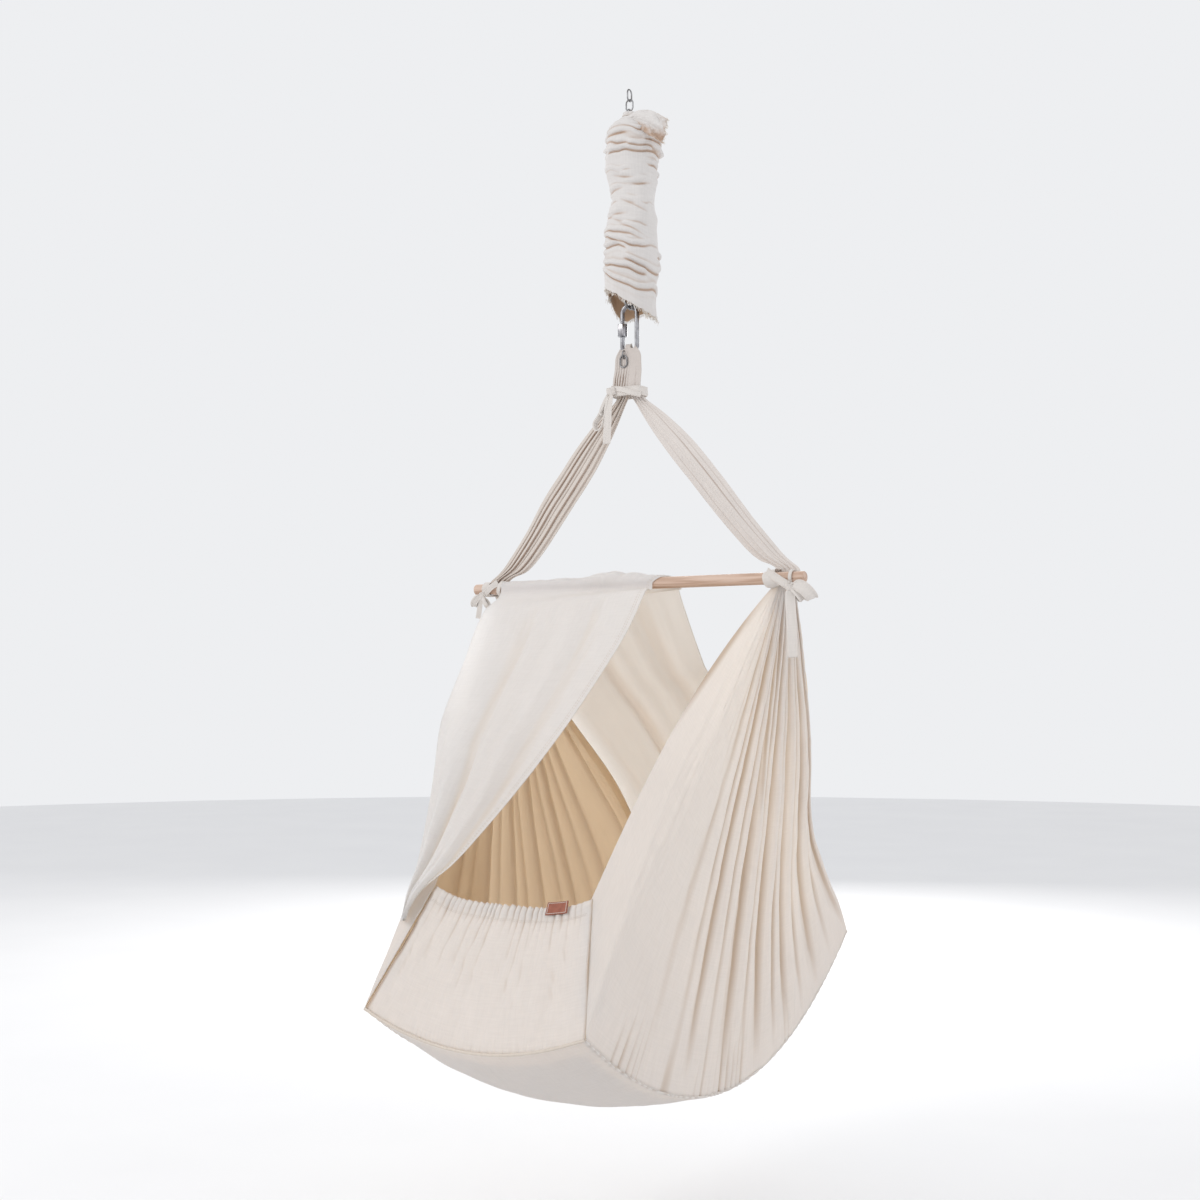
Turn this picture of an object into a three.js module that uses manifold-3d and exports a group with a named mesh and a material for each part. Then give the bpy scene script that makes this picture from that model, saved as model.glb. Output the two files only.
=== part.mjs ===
// Hanging baby cradle: a cotton sling with a spreader bar, hung on a spring in a cloth sleeve.
// Millimetres. The origin is the point where a ceiling hook bears in the top chain link.
// +X runs along the spreader bar, -Y faces the foot end and +Z is up.
import * as THREE from 'three';
import Module from 'manifold-3d';

const wasm = await Module();
wasm.setup();

// Clearance between pieces that touch
const seatGap = 0.3;
const clothGap = 0.5;

// Chain
const chainWire = 2.4;
const chainBoreWidth = 9.6;
const chainBoreLength = 16;
const safetyLinkCount = 21;
const safetyFuse = 0.1;
const safetyReach = 10;
const safetyBendTurn = 30;
const safetyTurns = 3;

// Quick links
const upperRod = 6;
const upperLinkWidth = 18;
const upperLinkLength = 60;
const upperNutLength = 15;
const upperNutWidth = 11;
const upperRodBreak = 7;
const lowerRod = 7;
const lowerLinkWidth = 26;
const lowerLinkLength = 84;
const lowerNutLength = 19;
const lowerNutWidth = 15;
const lowerRodBreak = 9;

// Chain tail on the lower link
const tailTurn = 28;
const tailLean = 63;

// Spring
const springWire = 4.5;
const springDiameter = 45;
const springCoils = 30;
const coilGap = 0.6;
const eyeDiameter = 34;
const eyeRise = 49.5;

// Sleeve
const sleeveCloth = 1.4;
const sleeveNeckTop = 36;
const sleeveLength = 300;
const sleeveSlant = 23;
const sleeveRadius = 38;
const sleeveNeckRadius = 9.2;
const sleeveCrumple = 2.6;
const sleeveWaveCount = 7;

// Sling cloth between the lower link and the bar
const loopDrop = 60;
const loopThroatWidth = 9;
const loopWidth = 45;
const loopCloth = 2.6;
const loopSpread = 10;
const apexTieHeight = 18;
const apexTieWidth = 56.6;
const apexTieDepth = 35;
const apexTieBand = 2.6;
const strapDrop = 296;
const strapCloth = 2.2;
const strapWidth = 54;
const strapEndWidth = 18;
const strapPleat = 3.2;
const strapPleatCount = 3;
const strapEndShare = 1.02;

// Spreader bar and its ties
const barRadius = 8.8;
const barLength = 590;
const barChamfer = 2;
const gatherInset = 36;
const gatherOffset = barLength / 2 - gatherInset;
const bundleWidth = 23.4;
const bundleDepth = 14;
const tieRibbon = 6;
const tieThickness = 1.8;
const tailWidth = 16;
const rightTailLength = 102;
const leftTailLength = 38;
const bowLength = 34;
const bowHeight = 16;

// Sling body
const cornerDrop = 593;
const baseHalfWidth = 178;
const baseHalfLength = 400;
const headLift = 28;
const sideSag = 155;
const footSag = 37;
const centreSag = 20;
const slingCloth = 2;
const foldDepth = 8;
const foldCount = 10;
const cornerEaseShare = 0.1;
const hemBow = 28;
const flapTopHalfWidth = 130;
const flapHeight = 159;
const flapLean = 91;
const flapTopSag = 18;
const flapBulge = 10;
const ruffleDepth = 2.4;
const ruffleCount = 7;
const headTopHalfWidth = 148;
const headHeight = 100;
const headLean = 77;

// Trim on the foot flap
const hemWidth = 18;
const hemCloth = 1;
const elasticWidth = 10;
const elasticThickness = 0.9;
const pipingRadius = 2;
const labelWidth = 38;
const labelHeight = 20;
const labelThickness = 1.4;
const labelOffset = 77;
const labelTopInset = 2;
const tapeWidth = 14;
const tapeThickness = 1.2;
const snapRadius = 5;
const snapHeight = 1;
const snapCount = 4;
const tapeInset = 2;

// Mattress
const mattressThickness = 34;
const mattressLift = 1.6;
const mattressEdge = 20;
const mattressSideInset = 14;
const mattressEndInset = 26;

// Veil
const veilCloth = 1.2;
const veilStandoff = 24;
const veilSideStandoff = 15;
const veilFrontEdge = 46;
const veilRearEdge = 85;
const veilLeftEdge = 237;
const veilSideDrop = 470;
const veilFoldDepth = 9;
const veilFrontFolds = 1.9;
const veilFrontSlant = 0.75;
const veilRearFolds = 2.6;
const veilRearSlant = 0.5;

// Levels, from the hook down
const linkPitch = chainBoreLength - seatGap;
const link3Top = -2 * linkPitch;
const link3BottomWire = link3Top - chainBoreLength - chainWire / 2;
const upperTopWire = link3BottomWire + chainWire / 2 + seatGap + upperRod / 2;
const upperBottomWire = upperTopWire - (upperLinkLength - upperRod);
const eyeTopWire = upperBottomWire + upperRod / 2 + seatGap + springWire / 2;
const coilPitch = springWire + coilGap;
const springTop = eyeTopWire - eyeRise;
const springBottom = springTop - springCoils * coilPitch;
const eyeBottomWire = springBottom - eyeRise;
const lowerTopWire = eyeBottomWire + springWire / 2 + seatGap + lowerRod / 2;
const lowerBottomWire = lowerTopWire - (lowerLinkLength - lowerRod);
const apexLevel = lowerBottomWire - loopDrop;
const barLevel = apexLevel - strapDrop;
const cornerLevel = barLevel - cornerDrop;
const headCornerLevel = cornerLevel + headLift;
const flapTopLevel = cornerLevel + flapHeight;
const headTopLevel = headCornerLevel + headHeight;
const gatherDepth = barRadius + clothGap + bundleDepth / 2;
const panelTopLevel = apexLevel - strapEndShare * strapDrop - clothGap - seatGap;

const steel = { color: 0xb9b9bc, roughness: 0.28, metalness: 1 };
const cotton = { color: 0xd9d4cf, roughness: 0.95, metalness: 0 };
const muslin = { color: 0xded8d4, roughness: 0.95, metalness: 0 };
const wood = { color: 0xcaaf9f, roughness: 0.6, metalness: 0 };
const leather = { color: 0xa15e4a, roughness: 0.7, metalness: 0 };
const elasticWhite = { color: 0xe4e1dc, roughness: 0.9, metalness: 0 };
const brass = { color: 0x8f6f4e, roughness: 0.45, metalness: 0.8 };

const mix = (a, b, share) => a + (b - a) * share;
const clampShare = (value) => Math.min(1, Math.max(0, value));
const smoothShare = (value) => {
  const share = clampShare(value);
  return share * share * (3 - 2 * share);
};
const point = (x, y, z) => new THREE.Vector3(x, y, z);

// Builds a mesh from a list of corners and triangles.
function facetedGeometry(corners, triangles) {
  const geometry = new THREE.BufferGeometry();
  const flat = corners.flatMap((corner) => [corner.x, corner.y, corner.z]);
  geometry.setAttribute('position', new THREE.Float32BufferAttribute(flat, 3));
  geometry.setIndex(triangles);
  return geometry;
}

// A round or flattened bar of material along a row of points, with a parallel section.
function tubeSolid(path, radius, sides, closed = false, flatness = 1, acrossHint = null) {
  const count = path.length;
  const tangentAt = (k) => {
    const before = closed ? path[(k + count - 1) % count] : path[Math.max(0, k - 1)];
    const after = closed ? path[(k + 1) % count] : path[Math.min(count - 1, k + 1)];
    return after.clone().sub(before).normalize();
  };
  let across = acrossHint;
  if (!across) {
    const first = tangentAt(0);
    across = Math.abs(first.z) < 0.9 ? point(0, 0, 1) : point(1, 0, 0);
  }
  const corners = [];
  const triangles = [];
  for (let k = 0; k < count; k += 1) {
    const tangent = tangentAt(k);
    across = across.clone().addScaledVector(tangent, -across.dot(tangent)).normalize();
    const other = tangent.clone().cross(across);
    for (let i = 0; i < sides; i += 1) {
      const angle = (2 * Math.PI * i) / sides;
      const corner = path[k].clone();
      corner.addScaledVector(across, radius * Math.cos(angle));
      corner.addScaledVector(other, radius * flatness * Math.sin(angle));
      corners.push(corner);
    }
  }
  const spans = closed ? count : count - 1;
  for (let k = 0; k < spans; k += 1) {
    for (let i = 0; i < sides; i += 1) {
      const a = k * sides + i;
      const b = k * sides + ((i + 1) % sides);
      const c = ((k + 1) % count) * sides + ((i + 1) % sides);
      const d = ((k + 1) % count) * sides + i;
      triangles.push(a, b, c, a, c, d);
    }
  }
  if (!closed) {
    const last = (count - 1) * sides;
    for (let i = 1; i < sides - 1; i += 1) {
      triangles.push(0, i + 1, i);
      triangles.push(last, last + i, last + i + 1);
    }
  }
  return facetedGeometry(corners, triangles);
}

// A sheet of cloth with a thickness: the surface is a function of two shares, and the sheet
// fills the space between two offsets from it. A closed sheet goes round and meets itself.
function sheetSolid(surface, across, along, low, high, closed = false) {
  const columns = closed ? across : across + 1;
  const rows = along + 1;
  const offsetOf = (offset, u, v) => (typeof offset === 'function' ? offset(u, v) : offset);
  const grid = [];
  for (let j = 0; j < rows; j += 1) {
    for (let i = 0; i < columns; i += 1) {
      grid.push(surface(i / across, j / along));
    }
  }
  const at = (i, j) => grid[j * columns + (closed ? (i + columns) % columns : i)];
  const corners = [];
  const total = columns * rows;
  for (const side of [high, low]) {
    for (let j = 0; j < rows; j += 1) {
      for (let i = 0; i < columns; i += 1) {
        const left = closed ? i - 1 : Math.max(0, i - 1);
        const right = closed ? i + 1 : Math.min(columns - 1, i + 1);
        const run = at(right, j).clone().sub(at(left, j));
        const rise = at(i, Math.min(rows - 1, j + 1)).clone().sub(at(i, Math.max(0, j - 1)));
        const normal = run.cross(rise).normalize();
        corners.push(at(i, j).clone().addScaledVector(normal, offsetOf(side, i / across, j / along)));
      }
    }
  }
  const triangles = [];
  const quad = (a, b, c, d) => triangles.push(a, b, c, a, c, d);
  const index = (i, j) => j * columns + (closed ? i % columns : i);
  for (let j = 0; j < along; j += 1) {
    for (let i = 0; i < across; i += 1) {
      const a = index(i, j);
      const b = index(i + 1, j);
      const c = index(i + 1, j + 1);
      const d = index(i, j + 1);
      quad(a, b, c, d);
      quad(a + total, d + total, c + total, b + total);
    }
  }
  for (let i = 0; i < across; i += 1) {
    const a = index(i, 0);
    const b = index(i + 1, 0);
    quad(a + total, b + total, b, a);
    const c = index(i, along);
    const d = index(i + 1, along);
    quad(d + total, c + total, c, d);
  }
  if (!closed) {
    for (let j = 0; j < along; j += 1) {
      const a = index(0, j);
      const b = index(0, j + 1);
      quad(b + total, a + total, a, b);
      const c = index(across, j);
      const d = index(across, j + 1);
      quad(c + total, d + total, d, c);
    }
  }
  return facetedGeometry(corners, triangles);
}

// Joins closed solids into one.
function joined(geometries) {
  const solids = geometries.map((geometry) => {
    const indexed = geometry.index ? geometry : mergedCorners(geometry);
    const places = new Float32Array(indexed.attributes.position.array);
    const mesh = new wasm.Mesh({
      numProp: 3,
      vertProperties: places,
      triVerts: new Uint32Array(indexed.index.array),
    });
    return new wasm.Manifold(mesh);
  });
  const whole = solids.slice(1).reduce((sum, solid) => sum.add(solid), solids[0]);
  const result = whole.getMesh();
  const geometry = new THREE.BufferGeometry();
  geometry.setAttribute('position', new THREE.Float32BufferAttribute(result.vertProperties, 3));
  geometry.setIndex(Array.from(result.triVerts));
  return geometry;
}

// Gives a box or extrusion one shared corner at each place.
function mergedCorners(geometry) {
  const source = geometry.attributes.position;
  const order = geometry.index ? Array.from(geometry.index.array) : [...Array(source.count).keys()];
  const known = new Map();
  const corners = [];
  const triangles = order.map((k) => {
    const corner = new THREE.Vector3().fromBufferAttribute(source, k);
    const key = corner.toArray().map((value) => value.toFixed(4)).join();
    if (!known.has(key)) {
      known.set(key, corners.length);
      corners.push(corner);
    }
    return known.get(key);
  });
  return facetedGeometry(corners, triangles);
}

function boxAt(width, depth, height, centre) {
  const box = new THREE.BoxGeometry(width, depth, height);
  box.translate(centre.x, centre.y, centre.z);
  return mergedCorners(box);
}

// The centre line of a stadium ring that hangs in the XZ plane, from the top wire down.
function stadiumPath(topWire, wireWidth, wireHeight, arcSteps) {
  const radius = wireWidth / 2;
  const path = [];
  for (let k = 0; k <= arcSteps; k += 1) {
    const angle = (Math.PI * k) / arcSteps;
    path.push(point(radius * Math.cos(angle), 0, topWire - radius + radius * Math.sin(angle)));
  }
  for (let k = 0; k <= arcSteps; k += 1) {
    const angle = Math.PI + (Math.PI * k) / arcSteps;
    path.push(point(radius * Math.cos(angle), 0, topWire - wireHeight + radius + radius * Math.sin(angle)));
  }
  return path;
}

// One chain link whose bore starts at a level, in the XZ plane.
function chainLink(boreTop, sides = 6, arcSteps = 6) {
  const wireWidth = chainBoreWidth + chainWire;
  const wireHeight = chainBoreLength + chainWire;
  const ring = stadiumPath(boreTop + chainWire / 2, wireWidth, wireHeight, arcSteps);
  return tubeSolid(ring, chainWire / 2, sides, true);
}

// A quick link's bent rod: a stadium ring with a break in its left leg.
function quickLinkRod(topWire, rod, width, length, rodBreak) {
  const ring = stadiumPath(topWire, width, length - rod, 8);
  const half = ring.length / 2;
  const middle = topWire - (length - rod) / 2;
  const upperEnd = point(-width / 2, 0, middle + rodBreak / 2);
  const lowerEnd = point(-width / 2, 0, middle - rodBreak / 2);
  const path = [lowerEnd, ...ring.slice(half), ...ring.slice(0, half), upperEnd];
  return tubeSolid(path, rod / 2, 8);
}

// The hexagonal nut that bridges the break.
function quickLinkNut(rod, acrossFlats, length) {
  const outline = new THREE.Shape();
  const cornerRadius = acrossFlats / Math.sqrt(3);
  for (let k = 0; k < 6; k += 1) {
    const angle = (Math.PI * k) / 3;
    const x = cornerRadius * Math.cos(angle);
    const y = cornerRadius * Math.sin(angle);
    if (k === 0) outline.moveTo(x, y);
    else outline.lineTo(x, y);
  }
  outline.closePath();
  const bore = new THREE.Path();
  bore.absarc(0, 0, rod / 2 + seatGap, 0, 2 * Math.PI, true);
  outline.holes.push(bore);
  const nut = new THREE.ExtrudeGeometry(outline, { depth: length, bevelEnabled: false, curveSegments: 12 });
  nut.translate(0, 0, -length / 2);
  return mergedCorners(nut);
}

// The spring's centre line: a straight shank and eye at each end of one unbroken coil.
function springPath() {
  const radius = springDiameter / 2;
  const stepsPerCoil = 6;
  const path = [];
  const eyeRadius = eyeDiameter / 2;
  const eyeSteps = 9;
  const eyeTurn = 1.5 * Math.PI;
  const hook = [];
  for (let k = 0; k <= eyeSteps; k += 1) {
    const angle = Math.PI - eyeTurn * (1 - k / eyeSteps);
    hook.push([eyeRadius * Math.cos(angle), eyeRise - eyeRadius + eyeRadius * Math.sin(angle)]);
  }
  hook.push([-mix(eyeRadius, radius, 0.7), eyeRise - 1.6 * eyeRadius]);
  for (const [y, rise] of hook) {
    path.push(point(0, y, springTop + rise));
  }
  path.push(point(0, -radius, springTop + springWire / 2));
  const steps = springCoils * stepsPerCoil;
  for (let k = 1; k < steps; k += 1) {
    const angle = (2 * Math.PI * k) / stepsPerCoil;
    const level = springTop - (coilPitch * k) / stepsPerCoil;
    path.push(point(radius * Math.sin(angle), -radius * Math.cos(angle), level));
  }
  path.push(point(0, -radius, springBottom - springWire / 2));
  for (const [y, rise] of hook.reverse()) {
    path.push(point(0, y, springBottom - rise));
  }
  return path;
}

// Prints the least distance that the coil keeps to itself, measured between its centre lines.
function reportCoilGap() {
  const path = springPath();
  let least = Infinity;
  const near = 4;
  for (let a = 0; a < path.length; a += 1) {
    for (let b = a + near; b < path.length; b += 1) {
      least = Math.min(least, path[a].distanceTo(path[b]) - springWire);
    }
  }
  console.log(`least gap between coils: ${least.toFixed(2)} mm`);
}

// Where a chain link sits on a quick link's bend: how far out, and the rise of its bore's end
// over the bend's lowest wire centre.
function bendSeat(bendRadius, rod) {
  const turn = THREE.MathUtils.degToRad(safetyBendTurn);
  const clear = (rod / 2 + seatGap + chainWire / 2) / Math.cos(turn);
  return [bendRadius * Math.sin(turn), bendRadius * (1 - Math.cos(turn)) + clear];
}

// The safety chain: fused links along a slack route inside the spring, straight at both ends.
function safetyChain() {
  const [topX, topRise] = bendSeat(upperLinkWidth / 2, upperRod);
  const [bottomX, bottomRise] = bendSeat(lowerLinkWidth / 2, lowerRod);
  const topLevel = upperBottomWire + topRise;
  const bottomLevel = lowerTopWire - bottomRise;
  const places = [];
  const steps = 90;
  for (let k = 0; k <= steps; k += 1) {
    const level = mix(topLevel, bottomLevel, k / steps);
    const share = clampShare((springTop - level) / (springTop - springBottom));
    const angle = 2 * Math.PI * safetyTurns * share;
    const startShare = smoothShare((topLevel - level) / chainBoreLength - 1);
    const endShare = smoothShare((level - bottomLevel) / chainBoreLength - 1);
    const reach = mix(bottomX, mix(topX, safetyReach, startShare), endShare);
    places.push(point(reach * Math.cos(angle), reach * Math.sin(angle), level));
  }
  const joints = new THREE.CatmullRomCurve3(places).getSpacedPoints(safetyLinkCount);
  const links = joints.slice(1).map((joint, k) => linkBetween(joints[k], joint, k));
  return joined(links);
}

// One fused link from a joint to the next, turned a quarter from its neighbour.
function linkBetween(from, to, order) {
  const reach = from.distanceTo(to) + chainWire - safetyFuse;
  const arcSteps = order === 0 || order === safetyLinkCount - 1 ? 4 : 2;
  const ring = stadiumPath(reach / 2, chainBoreWidth + chainWire, reach, arcSteps);
  const link = tubeSolid(ring, chainWire / 2, 4, true);
  const down = to.clone().sub(from).normalize();
  const turn = new THREE.Quaternion().setFromUnitVectors(point(0, 0, -1), down);
  const quarterTurn = ((order + 1) % 2) * (Math.PI / 2);
  const quarter = new THREE.Quaternion().setFromAxisAngle(point(0, 0, 1), quarterTurn);
  const middle = from.clone().add(to).multiplyScalar(0.5);
  link.applyQuaternion(quarter);
  link.applyQuaternion(turn);
  link.translate(middle.x, middle.y, middle.z);
  return link;
}

// The sleeve's outline: shares of its radius at shares of its length.
const sleeveProfileShares = [
  [0, 0], [0.022, 0.0], [0.05, 0.15], [0.075, 0.42], [0.1, 0.86], [0.13, 1.02], [0.2, 1.08],
  [0.32, 1.02], [0.42, 0.86], [0.48, 0.82], [0.56, 0.94], [0.68, 1.0], [0.85, 1.02], [1, 0.96],
];

function alongProfile(shares, share) {
  let k = 1;
  while (k < shares.length - 1 && shares[k][0] < share) k += 1;
  const [startShare, startValue] = shares[k - 1];
  const [endShare, endValue] = shares[k];
  return mix(startValue, endValue, smoothShare((share - startShare) / (endShare - startShare)));
}

function sleeveSurface(u, v) {
  const angle = 2 * Math.PI * u;
  const length = sleeveLength + sleeveSlant * Math.cos(angle) * v;
  const reach = mix(sleeveNeckRadius, sleeveRadius, alongProfile(sleeveProfileShares, v));
  const calm = 1 - 0.75 * Math.exp(-(((v - 0.45) / 0.12) ** 2));
  const onset = smoothShare((v - 0.09) / 0.08);
  const wave = Math.sin(2 * Math.PI * (sleeveWaveCount * v + 0.16 * Math.sin(2 * angle + 3 * v)));
  const radius = reach + sleeveCrumple * calm * onset * wave;
  return point(radius * Math.cos(angle), radius * Math.sin(angle), -sleeveNeckTop - length * v);
}

// The loop: up in front of the lower link's bend, over it and down behind.
function loopSurface(u, v) {
  const seat = (lowerRod / 2 + clothGap + seatGap + loopCloth / 2) / Math.cos(Math.PI / 12);
  const sign = v < 0.5 ? -1 : 1;
  const down = Math.abs(v - 0.5) * 2;
  const arcShare = 0.3;
  const bottom = apexLevel + seatGap / 2;
  let y;
  let z;
  if (down < arcShare) {
    const angle = (Math.PI / 2) * (down / arcShare);
    y = sign * seat * Math.sin(angle);
    z = lowerBottomWire + seat * Math.cos(angle);
  } else {
    const share = (down - arcShare) / (1 - arcShare);
    y = sign * mix(seat, loopSpread, smoothShare((share - 0.4) / 0.6));
    z = mix(lowerBottomWire, bottom, share);
  }
  const opening = smoothShare((down - 0.45) / 0.4);
  const earlyOpening = smoothShare((down - 0.3) / 0.2);
  const left = mix(loopThroatWidth, loopWidth, opening) / 2;
  const right = mix(loopThroatWidth, loopWidth, earlyOpening) / 2;
  const x = mix(-left, right, u);
  const bendRadius = lowerLinkWidth / 2;
  const bendRise = bendRadius - Math.sqrt(Math.max(0, bendRadius ** 2 - x ** 2));
  const pleat = strapPleat * 0.5 * opening * Math.sin(6 * Math.PI * u);
  return point(x, y + sign * pleat, z + bendRise * smoothShare((0.5 - down) / 0.2));
}

// A band round a bundle, a rounded rectangle in plan.
function bandSurface(width, depth, top, bottom) {
  const squared = (value) => Math.sign(value) * Math.sqrt(Math.abs(value));
  return (u, v) => {
    const angle = 2 * Math.PI * u;
    const x = (width / 2) * squared(Math.cos(angle));
    const y = (depth / 2) * squared(Math.sin(angle));
    return point(x, y, mix(bottom, top, v));
  };
}

function apexTie() {
  const top = apexLevel + apexTieHeight / 2;
  const bottom = apexLevel - apexTieHeight / 2;
  const plan = bandSurface(apexTieWidth - apexTieBand, apexTieDepth - apexTieBand, top, bottom);
  const band = sheetSolid(plan, 20, 1, -apexTieBand / 2, apexTieBand / 2, true);
  const knotX = -apexTieWidth / 2;
  const knotY = -apexTieDepth / 2 - apexTieBand / 2;
  const knot = new THREE.SphereGeometry(tailWidth / 2, 8, 6);
  knot.translate(knotX, knotY, apexLevel);
  const tailEnd = point(knotX, knotY - tailWidth * 0.6, apexLevel - 5 * tailWidth);
  const tail = ribbonTube([point(knotX, knotY - tailWidth * 0.2, apexLevel), tailEnd], tailWidth);
  return joined([band, mergedCorners(knot), tail]);
}

// A flat ribbon that hangs along a row of points.
function ribbonTube(path, width) {
  return tubeSolid(path, width / 2, 8, false, tieThickness / width, point(1, 0, 0));
}

// The straps' centre lines, as shares of the way out to the gather and down to the bar.
const strapPathShares = [
  [0.052, 0.002], [0.055, 0.032], [0.13, 0.12], [0.26, 0.27], [0.4, 0.43],
  [0.55, 0.59], [0.71, 0.75], [0.87, 0.885], [0.999, 0.955], [1, strapEndShare],
];

function strapSurface(side) {
  const route = strapPathShares.map(([out, down]) => {
    const depth = gatherDepth * smoothShare((down - 0.55) / 0.38);
    return point(side * gatherOffset * out, depth, apexLevel - strapDrop * down);
  });
  const curve = new THREE.CatmullRomCurve3(route);
  return (u, v) => {
    const centre = curve.getPoint(v);
    const tangent = curve.getTangent(v);
    const nearEnd = Math.min(v - 0.12, 0.86 - v);
    const swell = smoothShare(nearEnd / 0.34);
    const across = point(1, 0, 0).lerp(point(-tangent.z, 0, tangent.x), smoothShare(nearEnd / 0.2));
    across.normalize();
    const width = mix(strapEndWidth, strapWidth, swell);
    const pleat = strapPleat * Math.sin(2 * Math.PI * strapPleatCount * u);
    return centre.addScaledVector(across, (u - 0.5) * width).add(point(0, pleat, 0));
  };
}

function spreaderBar() {
  const half = barLength / 2;
  const profile = [
    new THREE.Vector2(0, -half),
    new THREE.Vector2(barRadius - barChamfer, -half),
    new THREE.Vector2(barRadius, -half + barChamfer),
    new THREE.Vector2(barRadius, half - barChamfer),
    new THREE.Vector2(barRadius - barChamfer, half),
    new THREE.Vector2(0, half),
  ];
  const bar = new THREE.LatheGeometry(profile, 20);
  bar.rotateZ(-Math.PI / 2);
  return mergedCorners(bar);
}

// A cloth tie: two bands round the bar beside the bundle, joined behind and in front of it.
function barTie(side, hangLength) {
  const ringSteps = 10;
  const bandRadius = (barRadius + seatGap + tieThickness / 2) / Math.cos(Math.PI / ringSteps);
  const inner = gatherOffset - bundleWidth / 2 - clothGap - tieRibbon / 2;
  const outer = gatherOffset + bundleWidth / 2 + clothGap + tieRibbon / 2;
  const backDepth = gatherDepth + bundleDepth / 2 + clothGap + tieThickness;
  const pieces = [];
  for (const place of [inner, outer]) {
    const ring = [];
    for (let k = 0; k < ringSteps; k += 1) {
      const angle = (2 * Math.PI * k) / ringSteps;
      const stretch = Math.cos(angle) > 0 ? backDepth - bandRadius : 0;
      const depth = bandRadius * Math.cos(angle) + stretch;
      ring.push(point(side * place, depth, barLevel + bandRadius * Math.sin(angle)));
    }
    pieces.push(tubeSolid(ring, tieRibbon / 2, 6, true, tieThickness / tieRibbon, point(1, 0, 0)));
  }
  const middle = (inner + outer) / 2;
  const span = outer - inner;
  const frontDepth = -bandRadius;
  const bandHeight = barRadius * 1.3;
  pieces.push(boxAt(span, tieThickness, bandHeight, point(side * middle, backDepth, barLevel)));
  const knotLevel = barLevel - barRadius * 0.8;
  const frontPlace = point(side * middle, frontDepth - tieThickness / 2, knotLevel);
  pieces.push(boxAt(span, tieThickness, bandHeight, frontPlace));
  const tailTop = point(side * outer, frontDepth - tieThickness, knotLevel);
  const tailEnd = point(side * outer, frontDepth - 2 * tieThickness, knotLevel - hangLength);
  pieces.push(ribbonTube([tailTop, tailEnd], tailWidth));
  const bow = [];
  const bowSteps = 10;
  for (let k = 0; k < bowSteps; k += 1) {
    const angle = (2 * Math.PI * k) / bowSteps;
    const out = (bowLength / 2) * (1 - Math.cos(angle));
    const forward = tieThickness + (bowHeight / 4) * (1 + Math.sin(angle));
    bow.push(point(side * outer, frontDepth - forward, knotLevel - out));
  }
  pieces.push(tubeSolid(bow, tailWidth / 2, 6, true, tieThickness / tailWidth, point(1, 0, 0)));
  return joined(pieces);
}

// The side seam's level at a distance towards the head.
function sideSeamLevel(y) {
  const share = y / baseHalfLength;
  const rise = mix(cornerLevel, headCornerLevel, (share + 1) / 2);
  return rise - sideSag * clampShare(1 - share * share);
}

function baseSurface(u, v) {
  const reach = baseHalfWidth - slingCloth / 2;
  const x = mix(-reach, reach, u);
  const y = mix(-baseHalfLength, baseHalfLength, v);
  const lengthShare = (y / baseHalfLength) ** 2;
  const drop = mix(centreSag, footSag, lengthShare);
  const z = sideSeamLevel(y) - drop * clampShare(1 - (x / baseHalfWidth) ** 2);
  return point(x, y, z);
}

// The panel's lower edge: down the foot seam, along the base and up the head seam.
const footSeamShare = 0.16;
const headSeamShare = 0.88;

function panelRim(share) {
  const edge = baseHalfWidth + clothGap;
  if (share < footSeamShare) {
    const down = share / footSeamShare;
    const x = mix(flapTopHalfWidth, edge, down);
    const y = -baseHalfLength + flapLean * (1 - down);
    return point(x, y, mix(flapTopLevel, cornerLevel, down));
  }
  if (share > headSeamShare) {
    const up = (share - headSeamShare) / (1 - headSeamShare);
    const x = mix(edge, headTopHalfWidth, up);
    const y = baseHalfLength - headLean * up;
    return point(x, y, mix(headCornerLevel, headTopLevel, up));
  }
  const along = (share - footSeamShare) / (headSeamShare - footSeamShare);
  const y = mix(-baseHalfLength, baseHalfLength, along);
  return point(edge, y, sideSeamLevel(y));
}

// The lower edge as the cloth above it follows it: eased round the sling's corners.
function easedRim(share, down) {
  const reach = Math.min(cornerEaseShare * (1 - down ** 3), share, 1 - share);
  const sum = panelRim(share).multiplyScalar(2);
  sum.add(panelRim(share - reach));
  sum.add(panelRim(share + reach));
  return sum.multiplyScalar(0.25);
}

// A side panel: it fans out from the gather under the bar to its lower edge.
function panelSurface(side) {
  return (s, t) => {
    const rim = easedRim(s, t);
    const top = point(gatherOffset + strapEndWidth * (s - 0.5), gatherDepth, panelTopLevel);
    const place = top.lerp(rim, t);
    const bow = hemBow * Math.sin(Math.PI * t ** 0.8) * clampShare(1 - s / 0.12);
    const folding = smoothShare((s - 0.22) / 0.12) * smoothShare((1 - s) / 0.08);
    const depth = foldDepth * folding * Math.sin(Math.PI * t ** 0.75) ** 0.9;
    const fold = depth * Math.sin(2 * Math.PI * foldCount * s);
    return point(side * (place.x - bow + fold), place.y, place.z);
  };
}

function flapSurface(u, v) {
  const reach = mix(baseHalfWidth, flapTopHalfWidth, v) - slingCloth * (1 + v);
  const across = 2 * u - 1;
  const x = across * reach;
  const arch = clampShare(1 - across * across);
  const bottom = cornerLevel - footSag * arch;
  const top = flapTopLevel - flapTopSag * clampShare(1 - across ** 4);
  const ruffle = ruffleDepth * smoothShare((v - 0.55) / 0.45) * Math.sin(2 * Math.PI * ruffleCount * u);
  const bulge = flapBulge * Math.sin(Math.PI * v) * arch + ruffle * arch;
  const y = -baseHalfLength - slingCloth - clothGap + flapLean * v - bulge;
  return point(x, y, mix(bottom, top, v));
}

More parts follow.
